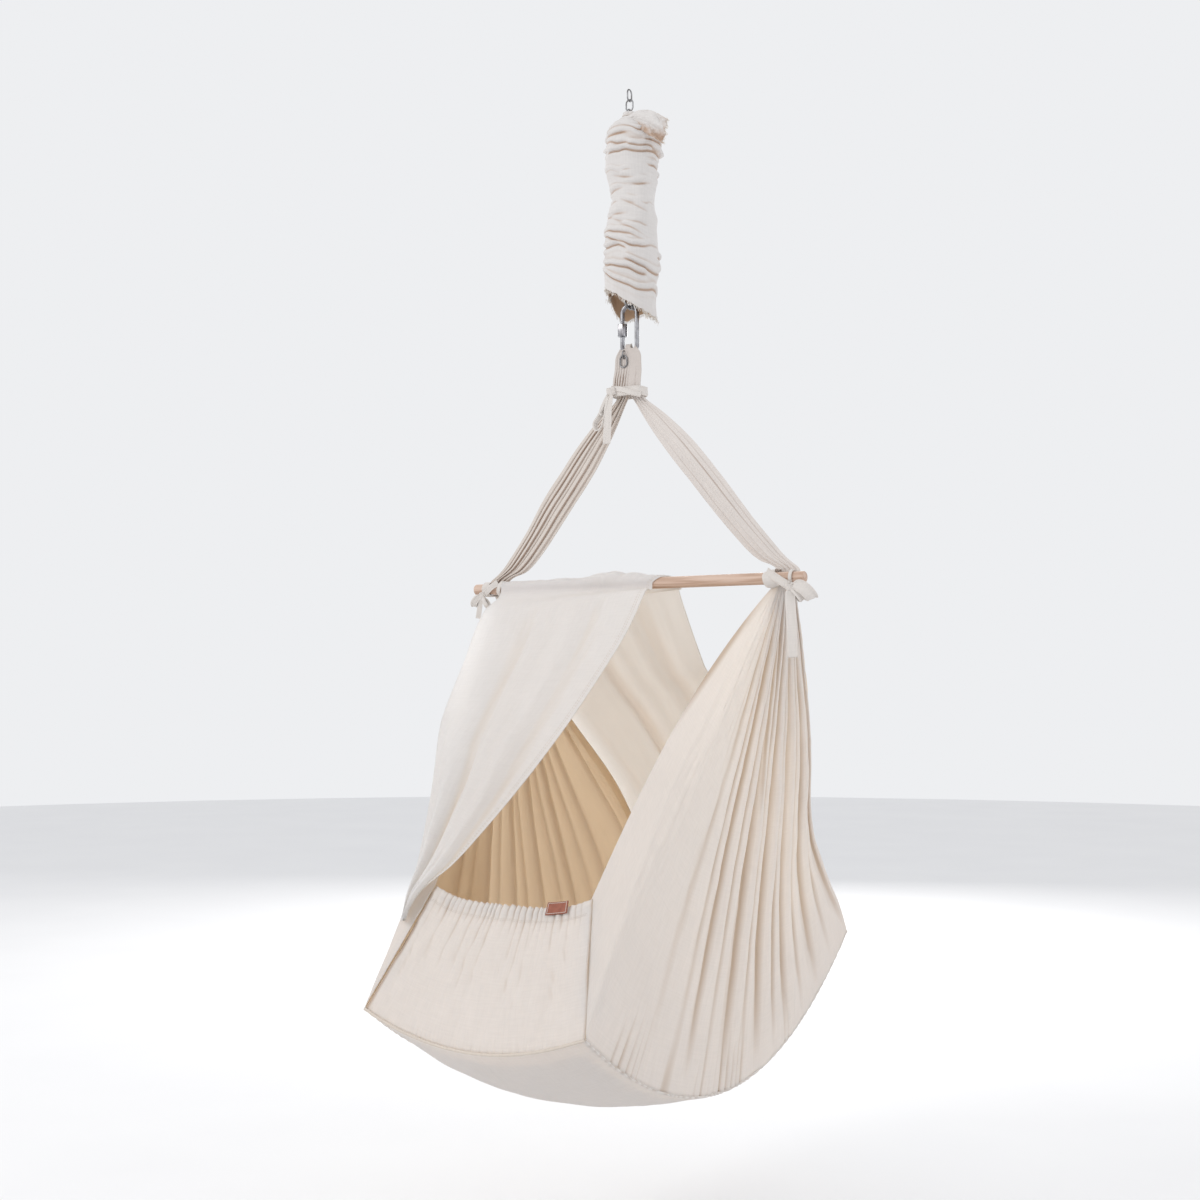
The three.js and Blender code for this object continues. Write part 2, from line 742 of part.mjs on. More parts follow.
function headSurface(u, v) {
  const reach = mix(baseHalfWidth, headTopHalfWidth, v) - slingCloth;
  const across = 1 - 2 * u;
  const x = across * reach;
  const arch = clampShare(1 - across * across);
  const bottom = headCornerLevel - footSag * arch;
  const top = headTopLevel - flapTopSag * arch;
  const bulge = flapBulge * Math.sin(Math.PI * v) * arch;
  const y = baseHalfLength + slingCloth + clothGap - headLean * v + bulge;
  return point(x, y, mix(bottom, top, v));
}

// The flap's rows: even up to the hem, then the hem as one row.
const flapSlope = Math.hypot(flapHeight, flapLean);
const flapColumns = 28;
const flapRows = 5;

function flapSheet(u, v) {
  const hemShare = hemWidth / flapSlope;
  const lastRow = 1 - 1 / flapRows;
  if (v <= lastRow) return flapSurface(u, (v / lastRow) * (1 - hemShare));
  return flapSurface(u, 1 - (1 - v) * flapRows * hemShare);
}

// Part of a surface, between two shares each way.
function patchOf(surface, uRange, vRange) {
  return (u, v) => surface(mix(uRange[0], uRange[1], u), mix(vRange[0], vRange[1], v));
}

function mattress() {
  const u = mattressSideInset / (2 * baseHalfWidth);
  const v = mattressEndInset / (2 * baseHalfLength);
  const bed = patchOf(baseSurface, [u, 1 - u], [v, 1 - v]);
  const low = slingCloth / 2 + mattressLift;
  const crown = (a, b) => {
    const edge = Math.min(a, 1 - a) * 2 * baseHalfWidth;
    const end = Math.min(b, 1 - b) * 2 * baseHalfLength;
    const rise = smoothShare(Math.min(edge, end) / (2 * mattressEdge) + 0.12);
    return low + mattressThickness * mix(0.5, 1, rise);
  };
  return sheetSolid(bed, 8, 12, low, crown);
}

// A strip of snaps along a foot seam. The caps stand towards the neighbouring strip.
function snapTape(surface, towards) {
  const strip = sheetSolid(surface, 1, 6, -tapeThickness / 2, tapeThickness / 2);
  const pieces = [strip];
  for (let k = 0; k < snapCount; k += 1) {
    const place = surface(0.5, (k + 0.5) / snapCount);
    const disc = new THREE.CylinderGeometry(snapRadius, snapRadius, snapHeight + tapeThickness / 2, 10);
    disc.rotateZ(Math.PI / 2);
    const reach = (towards * (snapHeight + tapeThickness / 2)) / 2;
    disc.translate(place.x + reach, place.y, place.z);
    pieces.push(mergedCorners(disc));
  }
  return joined(pieces);
}

// Both tapes of a foot seam run parallel to it, set in from the panel's face.
function seamStrip(side, inset) {
  return (u, v) => {
    const rim = panelRim(footSeamShare * mix(0.06, 0.86, side > 0 ? v : 1 - v));
    const x = rim.x - inset;
    return point(side * x, rim.y + tapeInset + tapeWidth * u, rim.z);
  };
}

// Veil edges as shares of the bar's half length, the sling's half length and the side drop.
const veilFrontShares = [
  [0.155, 0.026, 0.0], [0.136, 0.058, 0.036], [0.108, 0.175, 0.18], [-0.003, 0.36, 0.405],
  [-0.095, 0.49, 0.555], [-0.17, 0.575, 0.655], [-0.26, 0.665, 0.76], [-0.36, 0.75, 0.86],
  [-0.46, 0.835, 0.93], [-0.525, 0.875, 0.99], [-0.555, 0.9, 1.03],
];
const veilFoldShares = [
  [-0.8, 0.026, 0.0], [-0.85, 0.1, 0.095], [-0.845, 0.21, 0.23], [-0.84, 0.345, 0.4],
  [-0.81, 0.42, 0.48], [-0.745, 0.51, 0.59], [-0.7, 0.58, 0.68], [-0.65, 0.69, 0.82],
  [-0.62, 0.79, 0.93], [-0.6, 0.85, 1.0], [-0.59, 0.89, 1.04],
];
const veilRearShares = [
  [0.285, 0.03, 0.0], [0.25, 0.06, 0.03], [0.265, 0.22, 0.25], [0.265, 0.31, 0.33],
  [0.25, 0.53, 0.6], [0.23, 0.76, 0.84], [0.22, 0.94, 1.04],
];

function veilEdge(shares, direction) {
  const row = shares.map(([out, along, down]) => point(
    (barLength / 2) * out,
    direction * baseHalfLength * along,
    barLevel - veilSideDrop * down,
  ));
  return new THREE.CatmullRomCurve3(row);
}
const veilFrontCurve = veilEdge(veilFrontShares, -1);
const veilFoldCurve = veilEdge(veilFoldShares, -1);
const veilRearCurve = veilEdge(veilRearShares, 1);

// The places that the veil keeps outside the left panel, from its hem inwards.
function veilWrap(direction, down) {
  const panel = panelSurface(-1);
  if (direction < 0) {
    const slope = mix(0.04, 0.8, down);
    const fold = veilFoldCurve.getPoint(down);
    const wrap = smoothShare((down - 0.15) / 0.4);
    const outside = (s) => panel(s, slope).add(point(-veilSideStandoff, -veilSideStandoff * 0.4, 0));
    const near = fold.clone().add(point(-veilCloth * 3, veilCloth * 2, 0));
    const far = fold.clone().add(point(-veilCloth * 6, veilCloth * 5, 0));
    return [fold, near.lerp(outside(0.2), wrap), far.lerp(outside(0.38), wrap)];
  }
  const hem = panel(1, mix(0.04, 0.96, down));
  const settle = smoothShare(down / 0.3);
  const behind = (out, back) => point(
    mix(-veilLeftEdge, hem.x - veilStandoff * out, settle),
    mix(barRadius, hem.y + veilStandoff * back, smoothShare(down / 0.1)),
    hem.z,
  );
  return [behind(-0.4, 1.1), behind(0.4, 0.95), behind(0.9, 0.8)];
}

function veilHang(direction, u, down) {
  const free = (direction < 0 ? veilFrontCurve : veilRearCurve).getPoint(down);
  const [fold, near, far] = veilWrap(direction, down);
  const foldShare = mix(0.88, 0.6, smoothShare((down - 0.15) / 0.4));
  if (u <= foldShare) {
    const share = u / foldShare;
    const place = free.lerp(fold, share);
    const sweep = Math.sin(Math.PI * share) * Math.sin(Math.PI * clampShare(down * 0.9));
    const frontTurn = veilFrontFolds * share + veilFrontSlant * down + 0.25;
    const rearTurn = veilRearFolds * share + veilRearSlant * down;
    const wave = veilFoldDepth * Math.sin(2 * Math.PI * (direction < 0 ? frontTurn : rearTurn));
    place.y += direction * (veilStandoff * 0.6 + wave) * sweep;
    return place;
  }
  const share = (u - foldShare) / (1 - foldShare);
  return new THREE.CatmullRomCurve3([fold, near, far]).getPoint(share);
}

// The veil from its foot hem over the bar to its head hem.
const veilRows = 30;
const veilHangRows = 13;
const veilColumns = 14;

function veilSurface(u, v) {
  const row = v * veilRows;
  const barRows = veilRows - 2 * veilHangRows;
  const seat = (barRadius + seatGap + veilCloth) / Math.cos(Math.PI / (2 * barRows));
  if (row > veilHangRows && row < veilHangRows + barRows) {
    const turn = (row - veilHangRows) / barRows;
    const angle = Math.PI * (turn - 0.5);
    const edge = mix(veilFrontEdge, veilRearEdge, turn);
    const x = mix(edge, -veilLeftEdge, u);
    return point(x, seat * Math.sin(angle), barLevel + seat * Math.cos(angle));
  }
  const direction = row < veilRows / 2 ? -1 : 1;
  const down = (direction < 0 ? veilHangRows - row : row - veilHangRows - barRows) / veilHangRows;
  const edge = direction < 0 ? veilFrontEdge : veilRearEdge;
  const straight = point(mix(edge, -veilLeftEdge, u), direction * seat, barLevel - veilSideDrop * down);
  return straight.lerp(veilHang(direction, u, down), smoothShare(down / 0.08));
}

const group = new THREE.Group();

function addPiece(name, geometry, finish) {
  const piece = new THREE.Mesh(geometry, new THREE.MeshStandardMaterial(finish));
  piece.name = name;
  group.add(piece);
  return piece;
}

function addSuspension() {
  addPiece('chain_link_1', chainLink(0), steel).rotation.z = Math.PI / 2;
  addPiece('chain_link_2', chainLink(-linkPitch), steel);
  addPiece('chain_link_3', chainLink(link3Top), steel).rotation.z = Math.PI / 2;
  const upperLink = quickLinkRod(upperTopWire, upperRod, upperLinkWidth, upperLinkLength, upperRodBreak);
  addPiece('upper_quick_link', upperLink, steel);
  const upperNutShape = quickLinkNut(upperRod, upperNutWidth, upperNutLength);
  const upperNut = addPiece('upper_link_nut', upperNutShape, steel);
  upperNut.position.set(-upperLinkWidth / 2, 0, (upperTopWire + upperBottomWire) / 2);
  addPiece('coil_spring', tubeSolid(springPath(), springWire / 2, 5), steel);
  addPiece('safety_chain', safetyChain(), steel);
  const sleeve = sheetSolid(sleeveSurface, 12, 24, -sleeveCloth / 2, sleeveCloth / 2, true);
  addPiece('spring_sleeve', sleeve, cotton);
  const lowerLink = quickLinkRod(lowerTopWire, lowerRod, lowerLinkWidth, lowerLinkLength, lowerRodBreak);
  addPiece('lower_quick_link', lowerLink, steel);
  const lowerNutShape = quickLinkNut(lowerRod, lowerNutWidth, lowerNutLength);
  const lowerNut = addPiece('lower_link_nut', lowerNutShape, steel);
  lowerNut.position.set(-lowerLinkWidth / 2, 0, (lowerTopWire + lowerBottomWire) / 2);
}

// Two loose links on the lower link's bend, leaning forward over the cloth.
function addChainTail() {
  const bendRadius = lowerLinkWidth / 2;
  const turn = THREE.MathUtils.degToRad(tailTurn);
  const lean = THREE.MathUtils.degToRad(tailLean);
  const rodX = -bendRadius * Math.sin(turn);
  const rodZ = lowerBottomWire + bendRadius * (1 - Math.cos(turn));
  const boreTop = lowerRod / 2 + seatGap + chainWire / 2;
  const hang = new THREE.Group();
  hang.position.set(rodX, 0, rodZ);
  hang.rotation.x = -lean;
  const first = new THREE.Mesh(chainLink(boreTop), new THREE.MeshStandardMaterial(steel));
  first.name = 'chain_tail_1';
  first.rotation.z = Math.PI / 2;
  hang.add(first);
  group.add(hang);
  const reach = chainBoreLength - boreTop - seatGap - chainWire / 2;
  const second = addPiece('chain_tail_2', chainLink(0), steel);
  second.position.set(rodX, -reach * Math.sin(lean), rodZ - reach * Math.cos(lean) - chainWire / 2);
}

function addStraps() {
  addPiece('sling_loop', sheetSolid(loopSurface, 8, 20, -loopCloth / 2, loopCloth / 2), cotton);
  addPiece('apex_tie', apexTie(), cotton);
  for (const [name, side] of [['strap_left', -1], ['strap_right', 1]]) {
    addPiece(name, sheetSolid(strapSurface(side), 12, 8, -strapCloth / 2, strapCloth / 2), cotton);
  }
  addPiece('spreader_bar', spreaderBar(), wood).position.z = barLevel;
  addPiece('bar_tie_left', barTie(-1, leftTailLength), cotton);
  addPiece('bar_tie_right', barTie(1, rightTailLength), cotton);
}

function addSling() {
  const half = slingCloth / 2;
  for (const [name, side] of [['side_panel_left', -1], ['side_panel_right', 1]]) {
    addPiece(name, sheetSolid(panelSurface(side), 50, 7, -half, half), cotton);
  }
  addPiece('base_cloth', sheetSolid(baseSurface, 8, 14, -half, half), cotton);
  addPiece('mattress', mattress(), cotton);
  addPiece('head_panel', sheetSolid(headSurface, 10, 4, -half, half), cotton);
  addPiece('veil', sheetSolid(veilSurface, veilColumns, veilRows, -veilCloth / 2, veilCloth / 2), muslin);
}

function addFootFlap() {
  const half = slingCloth / 2;
  addPiece('foot_flap', sheetSolid(flapSheet, flapColumns, flapRows, -half, half), cotton);
  const elasticInset = (hemWidth - elasticWidth) / 2;
  const hemRange = [1 - hemWidth / flapSlope, 1];
  const elasticRange = [1 - (hemWidth - elasticInset) / flapSlope, 1 - elasticInset / flapSlope];
  const hemColumns = flapColumns - 2;
  const widthRange = [1 / flapColumns, 1 - 1 / flapColumns];
  const elasticHigh = -half - clothGap;
  const elasticLow = elasticHigh - elasticThickness;
  const hemHigh = elasticLow - seatGap;
  const elasticStrip = patchOf(flapSurface, widthRange, elasticRange);
  addPiece('flap_elastic', sheetSolid(elasticStrip, hemColumns, 1, elasticLow, elasticHigh), elasticWhite);
  const hemStrip = patchOf(flapSurface, widthRange, hemRange);
  addPiece('flap_hem', sheetSolid(hemStrip, hemColumns, 1, hemHigh - hemCloth, hemHigh), cotton);
  const labelMiddle = 0.5 + labelOffset / (2 * flapTopHalfWidth);
  const labelHalf = labelWidth / (4 * flapTopHalfWidth);
  const labelTop = 1 - labelTopInset / flapSlope;
  const labelPlace = patchOf(
    flapSurface,
    [labelMiddle - labelHalf, labelMiddle + labelHalf],
    [labelTop - labelHeight / flapSlope, labelTop],
  );
  const labelLow = half + 2 * seatGap;
  addPiece('leather_label', sheetSolid(labelPlace, 6, 2, labelLow, labelLow + labelThickness), leather);
  const piping = [];
  const pipingSteps = 20;
  for (let k = 0; k <= pipingSteps; k += 1) {
    const place = flapSurface(k / pipingSteps, 0);
    piping.push(point(place.x, place.y - half - seatGap - pipingRadius, place.z));
  }
  addPiece('flap_piping', tubeSolid(piping, pipingRadius, 6), cotton);
}

function addSnaps() {
  const panelInset = slingCloth / 2 + seatGap;
  const flapInset = panelInset + tapeThickness + 2 * (snapHeight + clothGap);
  for (const [word, side] of [['left', -1], ['right', 1]]) {
    addPiece(`panel_snap_tape_${word}`, snapTape(seamStrip(side, panelInset), -side), brass);
    addPiece(`flap_snap_tape_${word}`, snapTape(seamStrip(side, flapInset), side), brass);
  }
}

addSuspension();
addChainTail();
addStraps();
addSling();
addFootFlap();
addSnaps();
reportCoilGap();

export default group;
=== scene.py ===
import math

import bmesh
import bpy
import numpy as np
from mathutils import Matrix, Vector


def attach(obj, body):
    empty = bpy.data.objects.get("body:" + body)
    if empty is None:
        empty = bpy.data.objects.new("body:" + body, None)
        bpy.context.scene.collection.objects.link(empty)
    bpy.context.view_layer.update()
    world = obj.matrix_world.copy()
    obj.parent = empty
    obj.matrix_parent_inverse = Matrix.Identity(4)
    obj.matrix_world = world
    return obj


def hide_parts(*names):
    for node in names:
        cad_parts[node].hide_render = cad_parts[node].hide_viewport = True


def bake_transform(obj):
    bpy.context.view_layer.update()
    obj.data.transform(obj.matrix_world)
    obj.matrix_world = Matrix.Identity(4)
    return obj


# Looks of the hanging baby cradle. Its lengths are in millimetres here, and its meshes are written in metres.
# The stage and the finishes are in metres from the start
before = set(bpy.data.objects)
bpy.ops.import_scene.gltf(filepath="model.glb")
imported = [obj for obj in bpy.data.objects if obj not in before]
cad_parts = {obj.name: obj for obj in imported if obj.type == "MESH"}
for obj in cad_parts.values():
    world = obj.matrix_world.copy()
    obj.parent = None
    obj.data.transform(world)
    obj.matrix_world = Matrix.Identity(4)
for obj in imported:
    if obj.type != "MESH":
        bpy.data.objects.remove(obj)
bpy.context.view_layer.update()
MM = 0.001

# Levels and main sizes of the cradle. Levels count down from the top chain link
APEX = -475.5
BAR = -771.5
CORNER = -1364.5
HEAD_CORNER = -1336.5
FLAP_TOP = -1205.5
HEAD_TOP = -1236.5
PANEL_TOP = -778.2
BAR_RADIUS = 8.8
BAR_HALF = 295.0
GATHER_X = 259.0
GATHER_Y = 16.3
BASE_X = 178.0
BASE_Y = 400.0
FLAP_HALF = 130.0
HEAD_HALF = 148.0
FLAP_LEAN = 91.0
HEAD_LEAN = 77.0
LINK_BEND = -415.5
END_SAG = 37.0
SIDE_SAG = 155.0


# Camera and stage
FLOOR = -1.75
FLOOR_RINGS = (1.5, 4.0, 9.0)
FLOOR_SPOKES = 64


def add_camera():
    data = bpy.data.cameras.new("camera")
    data.sensor_width = 36
    data.lens = 46.926
    data.clip_end = 30
    camera = bpy.data.objects.new("camera", data)
    place = Vector((1.25196, -2.04439, -0.92086))
    target = Vector((-0.03879, -0.02479, -0.79617))
    camera.location = place
    camera.rotation_euler = (target - place).to_track_quat("-Z", "Y").to_euler()
    bpy.context.scene.collection.objects.link(camera)
    bpy.context.scene.camera = camera


def add_light(name, place, target, size, power, colour):
    data = bpy.data.lights.new(name, "AREA")
    data.shape = "DISK"
    data.size = size
    data.energy = power
    data.color = colour
    light = bpy.data.objects.new(name, data)
    light.location = place
    light.rotation_euler = (Vector(target) - Vector(place)).to_track_quat("-Z", "Y").to_euler()
    bpy.context.scene.collection.objects.link(light)


def add_stage():
    world = bpy.data.worlds.new("studio")
    world.use_nodes = True
    world.node_tree.nodes["Background"].inputs["Color"].default_value = (0.97, 0.98, 1.0, 1)
    world.node_tree.nodes["Background"].inputs["Strength"].default_value = 0.88
    bpy.context.scene.world = world
    middle = (0, 0, -0.95)
    add_light("key", (-2.0, -3.1, 1.3), middle, 1.6, 36, (1.0, 0.985, 0.965))
    add_light("side", (3.4, -0.6, -0.1), middle, 1.6, 9, (0.97, 0.985, 1.0))
    add_light("back", (-1.6, 3.2, 0.3), middle, 2.0, 62, (1.0, 0.985, 0.96))
    view = bpy.context.scene.view_settings
    view.view_transform = "Standard"
    view.look = "None"
    spokes = [(k, (k + 1) % FLOOR_SPOKES) for k in range(FLOOR_SPOKES)]
    corners = [(0.0, 0.0, FLOOR)]
    for radius in FLOOR_RINGS:
        for k, _ in spokes:
            angle = 2 * math.pi * k / FLOOR_SPOKES
            corners.append((radius * math.cos(angle), radius * math.sin(angle), FLOOR))
    faces = [(0, 1 + k, 1 + after) for k, after in spokes]
    for first in range(1, len(corners) - FLOOR_SPOKES, FLOOR_SPOKES):
        second = first + FLOOR_SPOKES
        faces += [(first + k, second + k, second + after, first + after) for k, after in spokes]
    mesh = bpy.data.meshes.new("floor")
    mesh.from_pydata(corners, [], faces)
    floor = bpy.data.objects.new("floor", mesh)
    bpy.context.scene.collection.objects.link(floor)
    finish = Finish("floor_paint")
    tone = finish.noise(finish.place(), 3.0, 2.0)
    base = finish.blend(tone, (0.8, 0.8, 0.81), (0.84, 0.84, 0.845))
    finish.shade(base, 0.85)
    mesh.materials.append(finish.material)


# Shader maths: a value in a node tree that Python's operators work on
class Value:
    def __init__(self, finish, socket):
        self.finish = finish
        self.socket = socket

    def maths(self, operation, *others):
        values = [other.socket if isinstance(other, Value) else other for other in others]
        return self.finish.node("ShaderNodeMath", {"operation": operation}, dict(enumerate(values)))["Value"]

    def __add__(self, other):
        return self.maths("ADD", self, other)

    def __radd__(self, other):
        return self.maths("ADD", other, self)

    def __sub__(self, other):
        return self.maths("SUBTRACT", self, other)

    def __rsub__(self, other):
        return self.maths("SUBTRACT", other, self)

    def __mul__(self, other):
        return self.maths("MULTIPLY", self, other)

    def __rmul__(self, other):
        return self.maths("MULTIPLY", other, self)

    def sine(self):
        return self.maths("SINE", self)


class Outputs:
    def __init__(self, finish, node):
        self.finish = finish
        self.node = node

    def __getitem__(self, name):
        return Value(self.finish, self.node.outputs[name])


class Finish:
    def __init__(self, name):
        self.material = bpy.data.materials.new(name)
        self.material.use_nodes = True
        self.tree = self.material.node_tree
        self.tree.nodes.clear()
        self.output = self.tree.nodes.new("ShaderNodeOutputMaterial")

    # A node of a kind, with its settings first and then its sockets' values or links
    def node(self, kind, settings=None, sockets=None):
        made = self.tree.nodes.new(kind)
        for name, value in (settings or {}).items():
            if name == "stops":
                ramp = made.color_ramp
                while len(ramp.elements) < len(value):
                    ramp.elements.new(0.5)
                for element, (place, colour) in zip(ramp.elements, value):
                    element.position = place
                    element.color = (*colour, 1) if len(colour) == 3 else colour
            else:
                setattr(made, name, value)
        for name, value in (sockets or {}).items():
            target = made.inputs[name]
            if isinstance(value, Value):
                value = value.socket
            if isinstance(value, bpy.types.NodeSocket):
                self.tree.links.new(value, target)
            elif isinstance(value, tuple) and len(value) == 3 and target.type == "RGBA":
                target.default_value = (*value, 1)
            else:
                target.default_value = value
        return Outputs(self, made)

    def place(self):
        return self.node("ShaderNodeTexCoord")["Object"]

    def flat_place(self):
        return self.node("ShaderNodeUVMap", {"uv_map": "cloth"})["UV"]

    def attribute(self, name):
        return self.node("ShaderNodeAttribute", {"attribute_name": name})["Fac"]

    def stretched(self, place, scale):
        return self.node("ShaderNodeMapping", None, {"Vector": place, "Scale": scale})["Vector"]

    def noise(self, place, scale, detail=3.0, roughness=0.5):
        sockets = {"Vector": place, "Scale": scale, "Detail": detail, "Roughness": roughness}
        return self.node("ShaderNodeTexNoise", None, sockets)["Fac"]

    def wave(self, place, scale, direction="X"):
        settings = {"wave_type": "BANDS", "bands_direction": direction, "wave_profile": "SIN"}
        return self.node("ShaderNodeTexWave", settings, {"Vector": place, "Scale": scale, "Distortion": 0.0})["Fac"]

    def ramp(self, value, stops):
        return self.node("ShaderNodeValToRGB", {"stops": stops}, {"Fac": value})["Color"]

    def span(self, value, low, high, start=0.0, end=1.0):
        sockets = {"Value": value, "From Min": low, "From Max": high, "To Min": start, "To Max": end}
        return self.node("ShaderNodeMapRange", {"clamp": True}, sockets)["Result"]

    def blend(self, factor, first, second):
        made = self.node("ShaderNodeMix", {"data_type": "RGBA"}).node
        for name, value in ((0, factor), (6, first), (7, second)):
            target = made.inputs[name]
            if isinstance(value, Value):
                self.tree.links.new(value.socket, target)
            elif isinstance(value, tuple):
                target.default_value = (*value, 1)
            else:
                target.default_value = value
        return Value(self, made.outputs[2])

    # The surface itself. Fixed numbers go straight on the shader's own sockets
    def shade(self, base, roughness, height=None, strength=0.3, depth=0.001, alpha=None, metallic=0.0, glow=None,
              **fixed):
        sockets = {"Base Color": base, "Roughness": roughness, "Metallic": metallic}
        if alpha is not None:
            sockets["Alpha"] = alpha
        if height is not None:
            bump = {"Height": height, "Strength": strength, "Distance": depth}
            sockets["Normal"] = self.node("ShaderNodeBump", None, bump)["Normal"]
        sockets.update({name.replace("_", " "): value for name, value in fixed.items()})
        shader = self.node("ShaderNodeBsdfPrincipled", None, sockets)["BSDF"]
        if glow is not None:
            least, most, colour = glow
            share = self.attribute("inside") * (most - least) + least
            through_cloth = self.node("ShaderNodeBsdfTranslucent", None, {"Color": colour})["BSDF"]
            shader = self.node("ShaderNodeMixShader", None, {0: share, 1: shader, 2: through_cloth})["Shader"]
        self.tree.links.new(shader.socket, self.output.inputs["Surface"])
        return self.material


# Woven cloth: two crossing threads with slubs, painted warm shade in the folds, and an inner face painted tan as shade
# and warm bounced light.
# A wave texture draws one band in this length at scale one
BAND_LENGTH = 0.31416


def woven(name, outer, inner, fold, thread, strength, alpha=None, mottle=0.035, sheen=0.25, glow=None):
    finish = Finish(name)
    flat = finish.flat_place()
    warp = finish.wave(flat, BAND_LENGTH / thread, "X")
    weft = finish.wave(flat, BAND_LENGTH / thread, "Y")
    along = finish.noise(finish.stretched(flat, (420.0, 34.0, 1.0)), 1.0, 2.0)
    across = finish.noise(finish.stretched(flat, (34.0, 420.0, 1.0)), 1.0, 2.0)
    cloud = finish.noise(finish.place(), 9.0, 3.0)
    slub = (along + across) * 0.5
    tone = finish.span(slub, 0.32, 0.68) * 0.7 + finish.span(cloud, 0.3, 0.7) * 0.3
    darker = tuple(channel * (1 - 2.2 * mottle) for channel in outer)
    lighter = tuple(min(1.0, channel * (1 + mottle)) for channel in outer)
    face = finish.blend(tone, darker, lighter)
    # Painted shade: the crease attribute darkens the face towards the fold colour
    face = finish.blend(finish.span(finish.attribute("crease"), 0.12, 0.95, 0.0, 0.85), face, fold)
    # Painted shade: the inner face takes the inner colour, with shade and warm bounced light painted in
    inner_face_shade = finish.blend(tone, tuple(channel * (1 - 3 * mottle) for channel in inner), inner)
    base = finish.blend(finish.attribute("inside"), face, inner_face_shade)
    height = warp * 0.3 + weft * 0.3 + slub * 1.2
    extra = {} if alpha is None else {"alpha": alpha}
    return finish.shade(base, 0.93, height, strength, 0.00035, glow=glow, Sheen_Weight=sheen, Sheen_Roughness=0.5,
                        Specular_IOR_Level=0.2, **extra)


def metal(name, light, dark, rough, scratch):
    finish = Finish(name)
    place = finish.place()
    cloud = finish.noise(place, 90.0, 3.0)
    fine = finish.noise(finish.stretched(place, (900.0, 900.0, 90.0)), 1.0, 3.0)
    base = finish.blend(finish.span(cloud, 0.38, 0.68), light, dark)
    roughness = finish.span(fine, 0.3, 0.7, rough, rough + 0.16)
    return finish.shade(base, roughness, fine * scratch + cloud * 0.4, 0.25, 0.0003, metallic=1.0)


def timber(name):
    finish = Finish(name)
    place = finish.place()
    turned = finish.stretched(place, (3.0, 60.0, 60.0))
    warp = finish.noise(turned, 1.0, 3.0)
    fibres = finish.noise(finish.stretched(place, (9.0, 700.0, 700.0)), 1.0, 4.0, 0.6)
    bands = (warp * 34.0).sine() * 0.5 + 0.5
    tone = bands * 0.45 + fibres * 0.55
    base = finish.ramp(tone, [(0.15, (0.48, 0.31, 0.22)), (0.5, (0.62, 0.44, 0.34)), (0.85, (0.7, 0.53, 0.43))])
    return finish.shade(base, finish.span(fibres, 0.3, 0.7, 0.42, 0.62), fibres * 0.7 + bands * 0.3, 0.3, 0.0004)


def hide(name, dark, light):
    finish = Finish(name)
    place = finish.place()
    grain = finish.node("ShaderNodeTexVoronoi", {"feature": "DISTANCE_TO_EDGE"}, {"Vector": place, "Scale": 900.0})
    cloud = finish.noise(place, 120.0, 4.0)
    base = finish.blend(finish.span(cloud, 0.3, 0.7), dark, light)
    # The crease attribute darkens the leather: painted shade in its hollows, and darker along its edges
    base = finish.blend(finish.span(finish.attribute("crease"), 0.1, 0.9, 0.0, 0.7), base, (0.1, 0.035, 0.02))
    height = finish.span(grain["Distance"], 0.0, 0.3) + cloud
    return finish.shade(base, finish.span(cloud, 0.3, 0.7, 0.5, 0.68), height, 0.35, 0.0003)


CREAM_GLOW = (1.0, 0.91, 0.78)
